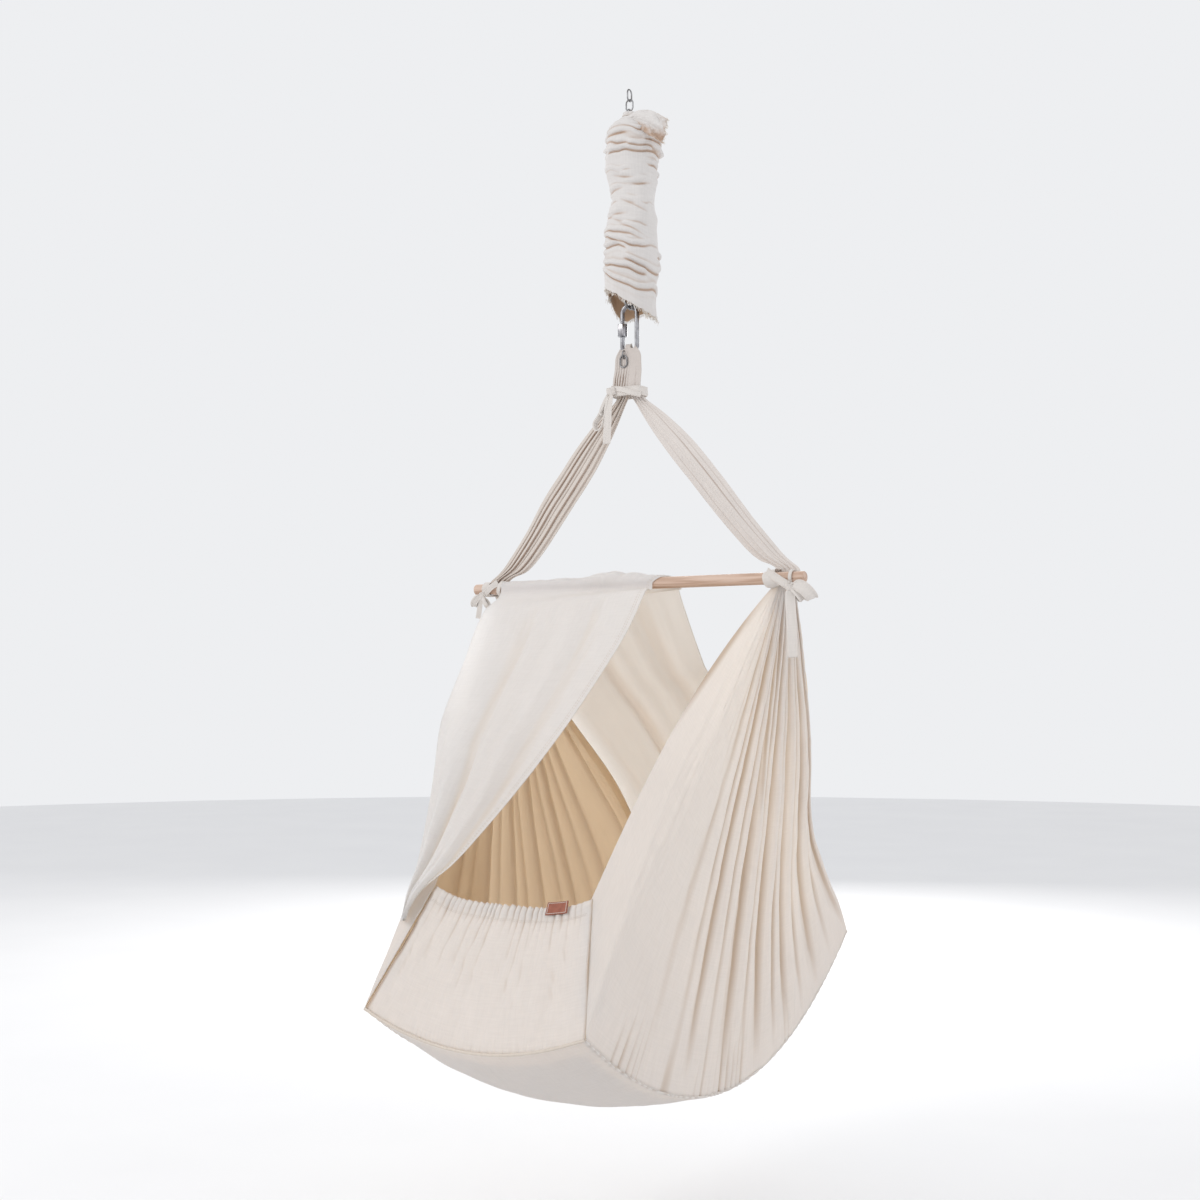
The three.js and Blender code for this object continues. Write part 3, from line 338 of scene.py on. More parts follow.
# Each woven finish gives its face colour, its inner face colour and its fold colour. The fold colour is painted shade
# in folds, and the tan inner faces of the sling and the sleeve are painted shade and warm bounced light
FINISHES = {
    "sling": woven("sling_cotton", (0.85, 0.815, 0.785), (0.86, 0.68, 0.48), (0.44, 0.335, 0.255), 0.0011, 0.35,
                   glow=(0.23, 0.93, CREAM_GLOW)),
    # Painted shade: the straps and the loop are the sling's cotton, made darker to stand for their shade
    "strap_left": woven("left_strap_cotton_painted_shade", (0.69, 0.625, 0.57), (0.69, 0.62, 0.56), (0.3, 0.19, 0.13), 0.0011, 0.12),
    "strap_right": woven("right_strap_cotton_painted_shade", (0.73, 0.675, 0.635), (0.73, 0.67, 0.63), (0.3, 0.19, 0.13), 0.0011,
                         0.12),
    "loop": woven("loop_cotton_painted_shade", (0.63, 0.57, 0.53), (0.63, 0.57, 0.52), (0.27, 0.17, 0.11), 0.0011, 0.12),
    "ties": woven("tie_cotton", (0.73, 0.685, 0.645), (0.74, 0.69, 0.64), (0.44, 0.31, 0.22), 0.001, 0.25),
    "sleeve": woven("sleeve_cotton", (0.73, 0.7, 0.68), (0.64, 0.44, 0.29), (0.46, 0.3, 0.2), 0.0009, 0.3),
    "veil": woven("veil_muslin", (0.86, 0.85, 0.85), (0.84, 0.8, 0.74), (0.7, 0.57, 0.43), 0.0008, 0.25, 0.95,
                  glow=(0.3, 0.9, (1.0, 0.98, 0.95))),
    "mattress": woven("mattress_cotton", (0.72, 0.62, 0.48), (0.7, 0.6, 0.47), (0.5, 0.38, 0.26), 0.0011, 0.3),
    "elastic": woven("elastic_cotton", (0.76, 0.74, 0.7), (0.76, 0.74, 0.7), (0.5, 0.42, 0.34), 0.0012, 0.5),
    "piping": woven("piping_cotton", (0.7, 0.62, 0.54), (0.68, 0.6, 0.52), (0.4, 0.28, 0.2), 0.0007, 0.4),
    # The snap tapes are real, and their dark brown is painted shade of the seam between flap and panel
    "tape": woven("tape_cotton_painted_seam_shade", (0.4, 0.29, 0.2), (0.46, 0.35, 0.26), (0.2, 0.13, 0.08), 0.0008, 0.4),
    "thread": woven("cotton_thread", (0.76, 0.71, 0.65), (0.74, 0.69, 0.63), (0.6, 0.5, 0.4), 0.0006, 0.2),
    "wood": timber("bar_wood"),
    "chain": metal("chain_steel", (0.36, 0.36, 0.37), (0.18, 0.17, 0.17), 0.3, 0.5),
    "link": metal("link_steel", (0.4, 0.4, 0.42), (0.22, 0.21, 0.22), 0.2, 0.3),
    "spring": metal("spring_steel", (0.36, 0.36, 0.37), (0.2, 0.2, 0.2), 0.3, 0.6),
    "snap": metal("snap_brass", (0.35, 0.26, 0.19), (0.16, 0.11, 0.08), 0.35, 0.4),
    "label": hide("label_leather", (0.26, 0.075, 0.042), (0.38, 0.13, 0.078)),
}


# Number helpers
TURN = 2 * math.pi


def mix(a, b, share):
    return a + (b - a) * share


def clip(value):
    return np.clip(value, 0.0, 1.0)


def smooth(value):
    share = clip(value)
    return share * share * (3 - 2 * share)


def bump(value, middle, width):
    return np.exp(-(((value - middle) / width) ** 2))


def hump(share):
    """One swell from 0 at share 0 back to 0 at share 1."""
    return np.sin(math.pi * share)


def wave(turns, shift=0.0):
    return np.sin(TURN * turns + shift)


def noise(seed, x, y):
    table = np.random.default_rng(seed).uniform(-1, 1, (97, 89))
    x, y = np.broadcast_arrays(np.asarray(x, float), np.asarray(y, float))
    i, j = np.floor(x).astype(int), np.floor(y).astype(int)
    a, b = smooth(x - i), smooth(y - j)

    def corner(p, q):
        return table[(i + p) % 97, (j + q) % 89]
    return mix(mix(corner(0, 0), corner(1, 0), a), mix(corner(0, 1), corner(1, 1), a), b)


def wrinkles(seed, x, y, octaves=3):
    return sum(noise(seed + k, x * 2 ** k, y * 2 ** k) / 1.8 ** k for k in range(octaves))


def points(x, y, z):
    return np.stack(np.broadcast_arrays(x, y, z), axis=-1).astype(float)


def shares(rows, columns):
    v, u = np.meshgrid(np.linspace(0, 1, rows), np.linspace(0, 1, columns), indexing="ij")
    return u, v


def circle(count):
    return TURN * np.arange(count) / count


def distances(path):
    """How far along a path each of its places lies."""
    return np.cumsum(np.r_[0, np.linalg.norm(np.diff(path, axis=0), axis=1)])


def through(places, count):
    """Points along a smooth curve through a few places, as many as asked."""
    places = np.asarray(places, float)
    padded = np.vstack([2 * places[0] - places[1], places, 2 * places[-1] - places[-2]])
    along = np.linspace(0, len(places) - 1, count)
    k = np.minimum(along.astype(int), len(places) - 2)
    t = (along - k)[:, None]
    p0, p1, p2, p3 = padded[k], padded[k + 1], padded[k + 2], padded[k + 3]
    return 0.5 * (2 * p1 + (p2 - p0) * t + (2 * p0 - 5 * p1 + 4 * p2 - p3) * t ** 2
                  + (3 * p1 - p0 - 3 * p2 + p3) * t ** 3)


def smooth_curve(places):
    fine = through(places, 60 * (len(places) - 1) + 1)

    def at(share):
        place = clip(np.asarray(share, float)) * (len(fine) - 1)
        k = np.minimum(place.astype(int), len(fine) - 2)
        rest = (place - k)[..., None]
        return fine[k] * (1 - rest) + fine[k + 1] * rest
    return at


# Meshes
def add_mesh(name, corners, faces, finish, uv, inside=0.0, crease=0.0):
    mesh = bpy.data.meshes.new(name)
    mesh.from_pydata((np.asarray(corners, float) * MM).tolist(), [], [list(map(int, face)) for face in faces])
    mesh.update()
    order = np.zeros(len(mesh.loops), int)
    mesh.loops.foreach_get("vertex_index", order)
    layer = mesh.uv_layers.new(name="cloth")
    layer.data.foreach_set("uv", np.asarray(uv, np.float32)[order].ravel())
    for key, value in (("inside", inside), ("crease", crease)):
        attribute = mesh.attributes.new(key, "FLOAT", "POINT")
        attribute.data.foreach_set("value", np.zeros(len(corners), np.float32) + np.asarray(value, np.float32))
    mesh.shade_smooth()
    mesh.materials.append(FINISHES[finish])
    return placed(name, mesh)


def placed(name, mesh):
    piece = bpy.data.objects.new(name, mesh)
    bpy.context.scene.collection.objects.link(piece)
    return piece


def dress(piece, body, slot, *nodes):
    """Hides the nodes that a piece stands for and puts it under its body; slot, its finish, is not used. A piece that
    bends has no body here.
    """
    if nodes:
        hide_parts(*nodes)
    if body:
        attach(piece, body)
    return piece


def flat_places(across, along):
    """Places for the weave, from how far each column and each row lies along the cloth."""
    return np.stack(np.meshgrid(across, along), -1).reshape(-1, 2) * MM


def normals_of(grid, closed=False):
    run = np.roll(grid, -1, 1) - np.roll(grid, 1, 1) if closed else np.gradient(grid, axis=1)
    normal = np.cross(run, np.gradient(grid, axis=0))
    return normal / (np.linalg.norm(normal, axis=-1, keepdims=True) + 1e-12)


def outward(grid, distance):
    return grid + normals_of(grid) * distance


def wall_faces(rows, columns, closed=False):
    """Faces of a sheet with two sides and its rims, from the corners of one side and then the other's."""
    total = rows * columns
    index = np.arange(total).reshape(rows, columns)
    across = columns if closed else columns - 1
    after = np.roll(index, -1, 1)
    first, beside = index[:-1, :across], after[:-1, :across]
    above, corner = index[1:, :across], after[1:, :across]
    top = np.stack([first, beside, corner, above], -1).reshape(-1, 4)
    bottom = np.stack([first, above, corner, beside], -1).reshape(-1, 4) + total
    edges = [(index[0, :across], after[0, :across], 1), (index[-1, :across], after[-1, :across], -1)]
    if not closed:
        edges += [(index[:-1, 0], index[1:, 0], -1), (index[:-1, -1], index[1:, -1], 1)]
    rims = [np.stack([a, a + total, b + total, b], -1)[:, ::turn] for a, b, turn in edges]
    return np.vstack([top, bottom] + rims)


def fold_depth(grid, normals, reach, axis, closed):
    """How deep each place lies in a fold, from the places beside it: 0 on a ridge, 1 in a deep fold."""
    if closed and axis == 1:
        left, right = np.roll(grid, reach, 1), np.roll(grid, -reach, 1)
    else:
        places = np.arange(grid.shape[axis])
        left = np.take(grid, np.maximum(places - reach, 0), axis)
        right = np.take(grid, np.minimum(places + reach, grid.shape[axis] - 1), axis)
    hollow = np.einsum("ijk,ijk->ij", (left + right) / 2 - grid, normals)
    return hollow / (np.linalg.norm(right - left, axis=-1) + 1e-6)


def cloth(name, grid, thickness, finish, outside=1, closed=False, fold_reach=3, fold_gain=6.0, shade_inner_face=True,
          fold_axis=1, mark=0.0, both=False):
    """A sheet with a wall, from a grid of places. outside says which way its good face looks."""
    rows, columns = grid.shape[:2]
    normals = normals_of(grid, closed)
    # Painted shade: the crease attribute, from how deep each place lies in a fold plus mark, darkens each face towards
    # its fold colour
    crease = fold_depth(grid, normals * outside, fold_reach, fold_axis, closed) * fold_gain
    good = clip(crease + mark).ravel()
    back = clip((mark if both else 0.0) - crease).ravel()
    side = normals * thickness / 2
    uv = flat_places(distances(grid[rows // 2]), distances(grid[:, columns // 2]))
    faces = (good, back) if outside > 0 else (back, good)
    # The inner face is flagged for its painted tan shade
    tan = 1.0 if shade_inner_face else 0.0
    inside = np.repeat((0.0, tan) if outside > 0 else (tan, 0.0), rows * columns)
    corners = np.vstack([(grid + side).reshape(-1, 3), (grid - side).reshape(-1, 3)])
    return add_mesh(name, corners, wall_faces(rows, columns, closed), finish, np.vstack([uv, uv]), inside,
                    np.concatenate(faces))


CUT_EXTRA = 1.04


def sheet_area(grid):
    a, b, c, d = grid[:-1, :-1], grid[:-1, 1:], grid[1:, 1:], grid[1:, :-1]
    area = np.linalg.norm(np.cross(b - a, c - a), axis=-1) + np.linalg.norm(np.cross(c - a, d - a), axis=-1)
    return float(area.sum()) / 2 * MM * MM


def declare(grid, length):
    """The width of a sheet that was cut a little larger than it lies, from its area and one flat length in metres; it
    is worked out but not kept.
    """
    sheet_area(grid) / length * CUT_EXTRA


# Swept rods, ribbons and rings
def swept(name, path, section, finish, hint, closed=False, scales=None, crease=0.0):
    """A body along a row of places. The section lists its places across and over, in a loop."""
    path = np.asarray(path, float)
    tangent = np.roll(path, -1, 0) - np.roll(path, 1, 0) if closed else np.gradient(path, axis=0)
    tangent /= np.linalg.norm(tangent, axis=1, keepdims=True)
    across = np.zeros_like(path)
    last = np.asarray(hint, float)
    for k, direction in enumerate(tangent):
        last = last - direction * last.dot(direction)
        last = last / np.linalg.norm(last)
        across[k] = last
    over = np.cross(tangent, across)
    section = np.broadcast_to(section, (len(path), *section.shape))
    if scales is not None:
        section = section * np.asarray(scales, float)[:, None, :]
    count, sides = section.shape[:2]
    corners = path[:, None] + across[:, None] * section[..., :1] + over[:, None] * section[..., 1:]
    index = np.arange(count * sides).reshape(count, sides)
    rows = np.arange(count if closed else count - 1)
    after = (rows + 1) % count
    beside = np.roll(index, -1, 1)
    faces = np.stack([index[rows], beside[rows], beside[after], index[after]], -1).reshape(-1, 4).tolist()
    if not closed:
        faces += [index[0][::-1].tolist(), index[-1].tolist()]
    uv = flat_places(distances(section[0]), distances(path))
    return add_mesh(name, corners.reshape(-1, 3), faces, finish, uv,
                    crease=np.broadcast_to(crease, (count, sides)).ravel())


def round_section(radius, sides):
    angle = circle(sides)
    return np.stack([radius * np.cos(angle), radius * np.sin(angle)], -1)


def flat_section(width, thickness, sides, waves):
    """A ribbon's section, rounded at both edges and a little rippled."""
    angle = circle(sides)
    x = np.sign(np.cos(angle)) * np.abs(np.cos(angle)) ** 0.6 * width / 2
    return np.stack([x, np.sin(angle) * thickness / 2 + waves * wave(2.5 * x / width)], -1)


def ribbon(name, places, width, thickness, hint, count=60, closed=False, waves=0.6, narrow=()):
    """narrow lists where along it a ribbon is drawn together, to what share, and over what reach."""
    path = through(list(places) + [places[0]], count + 1)[:-1] if closed else through(places, count)
    share = np.linspace(0, 1, len(path))
    scale = np.ones((len(path), 2))
    for start, size, reach in narrow:
        scale[:, 0] *= 1 - (1 - size) * bump(share, start, reach)
    return swept(name, path, flat_section(width, thickness, 28, waves), "ties", hint, closed, scale)


def knot(name, centre, radius):
    """A turn of ribbon pulled tight round a place."""
    x, y, z = centre
    angle = circle(48)
    path = points(x + radius * 0.75 * np.cos(angle), y + radius * 0.55 * np.sin(angle),
                  z + 0.25 * radius * np.sin(angle))
    return swept(name, path, flat_section(radius * 1.5, radius * 0.5, 24, 0.5), "ties", (0, 0, 1), True)


def joined(name, pieces):
    """Several pieces made one mesh."""
    bpy.ops.object.select_all(action="DESELECT")
    for piece in pieces:
        piece.select_set(True)
    bpy.context.view_layer.objects.active = pieces[0]
    bpy.ops.object.join()
    pieces[0].name = name
    pieces[0].data.name = name
    return pieces[0]


# Rows of threads, stitches or snaps, laid on places by a geometry node tree
def row_tree():
    tree = bpy.data.node_groups.new("row_of_small_pieces", "GeometryNodeTree")
    inputs = [("Geometry", "Geometry"), ("Thickness", "Float"), ("Length", "Float"), ("Spread", "Float"),
              ("Least size", "Float"), ("Seed", "Int"), ("Finish", "Material")]
    for label, kind in inputs:
        tree.interface.new_socket(label, in_out="INPUT", socket_type=f"NodeSocket{kind}")
    tree.interface.new_socket("Geometry", in_out="OUTPUT", socket_type="NodeSocketGeometry")

    def node(kind, settings, values, links):
        made = tree.nodes.new(kind)
        for name, value in settings.items():
            setattr(made, name, value)
        for name, value in values.items():
            made.inputs[name].default_value = value
        for name, socket in links.items():
            tree.links.new(socket, made.inputs[name])
        return made

    def shown(sockets, name):
        return [socket for socket in sockets if socket.name == name and socket.enabled][0]

    given = tree.nodes.new("NodeGroupInput").outputs
    spots = node("GeometryNodeMeshToPoints", {}, {}, {"Mesh": given["Geometry"]})
    rod = node("GeometryNodeMeshCylinder", {}, {"Vertices": 10}, {
        "Radius": given["Thickness"], "Depth": given["Length"]})
    aim = node("GeometryNodeInputNamedAttribute", {"data_type": "FLOAT_VECTOR"}, {"Name": "aim"}, {})
    stray = node("FunctionNodeRandomValue", {"data_type": "FLOAT_VECTOR"}, {"Min": (-1, -1, -1)},
                 {"Seed": given["Seed"]})
    spread = node("ShaderNodeVectorMath", {"operation": "SCALE"}, {},
                  {"Vector": stray.outputs["Value"], "Scale": given["Spread"]})
    total = node("ShaderNodeVectorMath", {}, {}, {0: aim.outputs["Attribute"], 1: spread.outputs["Vector"]})
    align = node("FunctionNodeAlignRotationToVector", {"axis": "Z"}, {}, {"Vector": total.outputs["Vector"]})
    size = node("FunctionNodeRandomValue", {"data_type": "FLOAT"}, {"Max": 1.0}, {"Seed": given["Seed"]})
    tree.links.new(given["Least size"], shown(size.inputs, "Min"))
    place = node("GeometryNodeInstanceOnPoints", {}, {}, {
        "Points": spots.outputs["Points"], "Instance": rod.outputs["Mesh"],
        "Rotation": align.outputs["Rotation"], "Scale": shown(size.outputs, "Value")})
    realize = node("GeometryNodeRealizeInstances", {}, {}, {"Geometry": place.outputs["Instances"]})
    finish = node("GeometryNodeSetMaterial", {}, {}, {
        "Geometry": realize.outputs["Geometry"], "Material": given["Finish"]})
    node("NodeGroupOutput", {}, {}, {"Geometry": finish.outputs["Geometry"]})
    return tree


ROW_TREE = row_tree()


def row(name, places, aims, finish, thickness, length, spread=0.0, least=1.0, seed=1):
    """Small rods at places, each along its aim, with some spread in aim and in size."""
    places = np.asarray(places, float).reshape(-1, 3) * MM
    aims = np.asarray(aims, float).reshape(-1, 3)
    aims = aims / (np.linalg.norm(aims, axis=1, keepdims=True) + 1e-12)
    mesh = bpy.data.meshes.new(name)
    mesh.from_pydata(places.tolist(), [], [])
    attribute = mesh.attributes.new("aim", "FLOAT_VECTOR", "POINT")
    attribute.data.foreach_set("vector", aims.astype(np.float32).ravel())
    piece = placed(name, mesh)
    modifier = piece.modifiers.new("row", "NODES")
    modifier.node_group = ROW_TREE
    values = {"Thickness": thickness * MM, "Length": length * MM, "Spread": spread, "Least size": least,
              "Seed": seed, "Finish": FINISHES[finish]}
    for item in ROW_TREE.interface.items_tree:
        if item.in_out == "INPUT" and item.name in values:
            modifier[item.identifier] = values[item.name]
    bpy.context.view_layer.update()
    shown = piece.evaluated_get(bpy.context.evaluated_depsgraph_get())
    baked = bpy.data.meshes.new_from_object(shown)
    piece.modifiers.remove(modifier)
    piece.data = baked
    baked.name = name
    return piece


def stitches(path, step):
    """Places and directions of stitches along a path, a step apart."""
    length = distances(path)
    at = np.arange(step / 2, length[-1], step)
    place, after, before = (np.stack([np.interp(at + shift, length, path[:, k]) for k in range(3)], -1)
                            for shift in (0, 0.5, -0.5))
    return place, after - before


# Side panels. s runs along the rim from the flap's top corner to the head end's, t from the gather down to it.
# Each fold lists its share along the rim, its width and its depth
FOOT_SHARE = 0.16
HEAD_SHARE = 0.12
GATHER_WIDTH = 30.0
FAN = 760.0
RIGHT_FOLDS = [
    (0.275, 0.016, 4.0), (0.335, 0.012, 5.0), (0.375, 0.014, 9.0), (0.425, 0.010, 5.0), (0.475, 0.014, 12.0),
    (0.522, 0.009, 6.0), (0.575, 0.014, 13.0), (0.625, 0.010, 8.0), (0.672, 0.013, 13.0), (0.72, 0.009, 7.0),
    (0.775, 0.013, 12.0), (0.82, 0.009, 6.0), (0.872, 0.012, 9.0), (0.93, 0.012, 5.0),
]
LEFT_FOLDS = [
    (0.28, 0.014, 8.0), (0.33, 0.010, 5.0), (0.377, 0.014, 11.0), (0.428, 0.010, 6.0), (0.476, 0.014, 11.0),
    (0.524, 0.010, 6.0), (0.576, 0.014, 10.0), (0.63, 0.011, 7.0), (0.675, 0.014, 10.0), (0.73, 0.012, 6.0),
    (0.776, 0.014, 8.0), (0.876, 0.014, 7.0),
]
SIDES = (("left", -1, LEFT_FOLDS), ("right", 1, RIGHT_FOLDS))


def side_seam(y):
    share = y / BASE_Y
    return mix(CORNER, HEAD_CORNER, (share + 1) / 2) - SIDE_SAG * clip(1 - share * share)


def base_level(x, y):
    drop = mix(20.0, END_SAG, (y / BASE_Y) ** 2) + 11 * smooth((BASE_Y - np.abs(y)) / 90)
    return side_seam(y) - drop * clip(1 - (x / BASE_X) ** 2)


def rim(share):
    edge = BASE_X + 0.5
    down = clip(share / FOOT_SHARE)
    up = clip((share - 1 + HEAD_SHARE) / HEAD_SHARE)
    y = mix(-BASE_Y, BASE_Y, clip((share - FOOT_SHARE) / (1 - FOOT_SHARE - HEAD_SHARE)))
    foot = points(mix(FLAP_HALF, edge, down), -BASE_Y + FLAP_LEAN * (1 - down), mix(FLAP_TOP, CORNER, down))
    head = points(mix(edge, HEAD_HALF, up), BASE_Y - HEAD_LEAN * up, mix(HEAD_CORNER, HEAD_TOP, up))
    side = points(edge, y, side_seam(y))
    share = np.asarray(share)[..., None]
    return np.where(share < FOOT_SHARE, foot, np.where(share > 1 - HEAD_SHARE, head, side))


def eased_rim(share, down):
    """The rim as the cloth above it follows it, rounder towards the top."""
    reach = np.minimum(0.1 * (1 - down ** 3), np.minimum(share, 1 - share))
    return (2 * rim(share) + rim(share - reach) + rim(share + reach)) / 4


def panel(side, s, t, valleys, with_mark=False):
    """A side panel, fanning from the gather over its folds."""
    right = side > 0
    breadth = GATHER_WIDTH + FAN * t
    down = np.maximum(t, 1e-6)
    top = points(GATHER_X - 3 + GATHER_WIDTH * (s - 0.5), GATHER_Y, PANEL_TOP)
    place = mix(top, eased_rim(s, t), t[..., None])
    drawn = bump(t, 0.68, 0.2) * smooth((s - 0.5) / 0.45) * smooth((1 - t) / 0.14)
    bow = 28 * hump(down ** 0.8) * clip(1 - s / 0.12)
    swell = hump(np.minimum(down, 0.985) ** 0.75) ** 0.55
    end = 1 - 0.5 * smooth((t - 0.86) / 0.14)
    near_top = 1 + 1.1 * smooth((0.5 - t) / 0.4)
    deep = bump(s, 0.5 + 0.006 * noise(371, t * 3.1, 0.5), 2.2 / breadth)
    # Painted shade: mark darkens the deep valley near the gather, the hem's inside along the front edge, the tight
    # folds at the top, each fold's valley and the ruffle hollows
    mark = 1.3 * deep * smooth((0.62 - t) / 0.3) * smooth(t / 0.02)
    mark = np.maximum(mark, 1.5 * bump(s, 0.0, 5.0 / breadth) * bump(t, 0.22, 0.2))
    tight = smooth(0.66 + wrinkles(53, s * 30, t * 2))
    mark = np.maximum(mark, 1.1 * smooth((0.5 - t) / 0.42) * smooth((s - 0.22) / 0.1) * tight)
    fold = -(9 if right else 4) * deep * smooth((0.45 - t) / 0.3)
    for middle, width, depth in valleys:
        wander = middle + 0.006 * noise(int(middle * 997), t * 3.1, 0.5)
        hollow = 0.45 * bump(s, wander, 0.6 * width) + 0.55 * bump(s, wander - 0.4 * width, 1.5 * width)
        fold = fold - depth * end * hollow + 0.5 * depth * bump(s, wander + 1.9 * width, 1.1 * width)
        dark = 0.45 * bump(s, wander + 0.1 * width, 0.55 * width)
        dark = dark + 0.62 * bump(s, wander - 0.5 * width, 1.8 * width)
        mark = np.maximum(mark, smooth(depth / 10) * end * dark * near_top)
    fine = wave(52 * s, 11 * noise(3, s * 17, 0.2)) * bump(t, 1.0, 0.085)
    fine = fine * (0.55 + 0.6 * noise(5, s * 31, t * 2))
    ruffle = 2.9 * fine * smooth((s - 0.14) / 0.04) * smooth((0.8 - s) / 0.3)
    soft = 2.2 * wrinkles(11 if right else 23, s * 18, t * 3) * swell
    ripple = 0.8 * wrinkles(31 if right else 37, s * 60, t * 14) * swell * smooth((s - 0.02) / 0.1)
    hem = 0.9 * bump(s, 0.034, 0.006)
    calm = smooth(s / 0.02) * smooth((1 - s) / 0.02)
    out = -bow + (fold * swell + soft + ripple - hem) * calm + ruffle
    grid = points(side * (place[..., 0] - 9 * drawn + out), place[..., 1] - (28 if right else -14) * drawn,
                  place[..., 2])
    return (grid, clip(mark * swell + 0.3 * np.clip(-ruffle, 0, 2))) if with_mark else grid


def add_panels():
    for word, side, folds in SIDES:
        s, t = shares(118, 400)
        grid, mark = panel(side, s, t, folds, True)
        piece = cloth(f"sling_side_{word}", grid, 1.9, "sling", outside=-side, fold_reach=5, fold_gain=1.6,
                      mark=mark * 0.9)
        dress(piece, "cradle", "sling_cotton", f"side_panel_{word}")
        declare(grid, 0.62)


# Veil. The edges are shares of the bar's half length, the base's half length and the drop
VEIL_FRONT = [
    (0.155, 0.026, 0.0), (0.136, 0.058, 0.036), (0.108, 0.175, 0.18), (-0.003, 0.36, 0.405),
    (-0.095, 0.49, 0.555), (-0.17, 0.575, 0.655), (-0.26, 0.665, 0.76), (-0.36, 0.75, 0.86),
    (-0.45, 0.825, 0.925), (-0.5, 0.855, 0.98), (-0.52, 0.865, 1.015)]
VEIL_FOLD = [
    (-0.8, 0.026, 0.0), (-0.85, 0.1, 0.095), (-0.845, 0.21, 0.23), (-0.84, 0.345, 0.4),
    (-0.805, 0.42, 0.48), (-0.735, 0.51, 0.59), (-0.685, 0.58, 0.68), (-0.62, 0.69, 0.82),
    (-0.57, 0.78, 0.93), (-0.54, 0.83, 0.99), (-0.53, 0.86, 1.025)]
VEIL_REAR = [
    (0.285, 0.03, 0.0), (0.25, 0.06, 0.03), (0.265, 0.22, 0.25), (0.265, 0.31, 0.33),
    (0.25, 0.53, 0.6), (0.23, 0.76, 0.84), (0.22, 0.94, 1.04)]
VEIL_STAND = 24.0
VEIL_SIDE = 15.0
VEIL_DROP = 470.0
VEIL_LEFT = -237.0
VEIL_RIGHT = (46.0, 85.0)
HANG_SHARE = 13 / 30


def veil_edge(table, direction):
    x, y, z = np.transpose(table)
    return smooth_curve(points(BAR_HALF * x, direction * BASE_Y * y, BAR - VEIL_DROP * z))


def veil_wrap(direction, down, fold):
    """Where the veil folds round the left panel: the fold and two rows beyond it."""
    if direction < 0:
        slope = mix(0.04, 0.8, down)
        wrap = smooth((down - 0.15) / 0.4)[..., None]
        lift = np.array([-VEIL_SIDE, -VEIL_SIDE * 0.4, 0]) * mix(1.0, 0.25, smooth(down * 1.1))[..., None]
        near, far = (panel(-1, np.full_like(slope, s), slope, []) + lift for s in (0.2, 0.38))
        return fold, mix(fold + (-3.6, 2.4, 0), near, wrap), mix(fold + (-7.2, 6.0, 0), far, wrap)
    slope = mix(0.04, 0.96, down)
    hem = panel(-1, np.ones_like(slope), slope, [])
    settle, early = smooth(down / 0.3), smooth(down / 0.1)
    return tuple(points(mix(VEIL_LEFT, hem[..., 0] - VEIL_STAND * out, settle),
                        mix(BAR_RADIUS, hem[..., 1] + VEIL_STAND * back, early), hem[..., 2])
                 for out, back in ((-0.4, 1.1), (0.4, 0.95), (0.9, 0.8)))


def veil_grid(rows, columns):
    u, v = shares(rows, columns)
    seat = BAR_RADIUS + 0.3 + 1.2
    turn = clip((v - HANG_SHARE) / (1 - 2 * HANG_SHARE))
    angle = math.pi * (turn - 0.5)
    heap = 7.5 * bump(u, 0.3, 0.17) + 2.0 * bump(u, 0.62, 0.1) + 1.2
    crumple = (0.8 + 0.45 * wrinkles(41, u * 13, turn * 1.2)) * smooth(u / 0.06)
    round_bar = seat + heap * smooth(1.25 - np.abs(turn - 0.42) * 2.4) * crumple
    result = points(mix(mix(*VEIL_RIGHT, turn), VEIL_LEFT, u), round_bar * np.sin(angle),
                    BAR + round_bar * np.cos(angle))
    folds = np.zeros_like(u)
    fold_curve = veil_edge(VEIL_FOLD, -1)
    for direction in (-1, 1):
        front = direction < 0
        down = clip((HANG_SHARE - v if front else v - 1 + HANG_SHARE) / HANG_SHARE)
        free = veil_edge(VEIL_FRONT if front else VEIL_REAR, direction)(down)
        fold, near, far = veil_wrap(direction, down, fold_curve(down))
        fold_share = mix(0.88, 0.6, smooth((down - 0.15) / 0.4))
        share = clip(u / fold_share)
        flat = mix(free, fold, share[..., None])
        if front:
            phase = TURN * (2.1 * share + 0.55 * down + 0.25)
            sway = 11 * np.sin(phase) + 4.5 * np.sin(2 * phase + 0.8)
            sway = sway + 2.2 * wave(5.1 * share + 1.9 * down + 0.1) * (1 - 0.4 * down)
        else:
            phase = TURN * (2.6 * share + 0.5 * down)
            sway = 11 * np.sin(phase) + 5 * np.sin(2 * phase + 0.7) + 2.6 * wave(7.3 * share + 0.9 * down)
        middle = hump(share) ** 0.5
        # Painted shade in the valleys of the veil's folds, stronger on the rear half
        valley_shade = smooth((-sway - 3) / 10) * middle * smooth(down / 0.2)
        folds = np.where(down > 0, valley_shade * (0.3 if front else 1.3), folds)
        detail = 1.6 * wrinkles(57 + direction, share * 12, down * 5) * smooth(down / 0.12) * middle
        sweep = hump(share) * hump(clip(down * 0.9))
        flat[..., 1] += direction * ((VEIL_STAND * 0.6 + sway) * sweep + detail)
        rest = clip((u - fold_share) / (1 - fold_share))[..., None]
        bend = (1 - rest) ** 2 * fold + 2 * rest * (1 - rest) * (2 * near - (fold + far) / 2) + rest ** 2 * far
        hung = np.where((u > fold_share)[..., None], bend, flat)
        right = VEIL_RIGHT[0] if front else VEIL_RIGHT[1]
        straight = points(mix(right, VEIL_LEFT, u), direction * seat, BAR - VEIL_DROP * down)
        hung = mix(straight, hung, smooth(down / 0.08)[..., None])
        result = np.where((down > 0)[..., None], hung, result)
    return result, folds


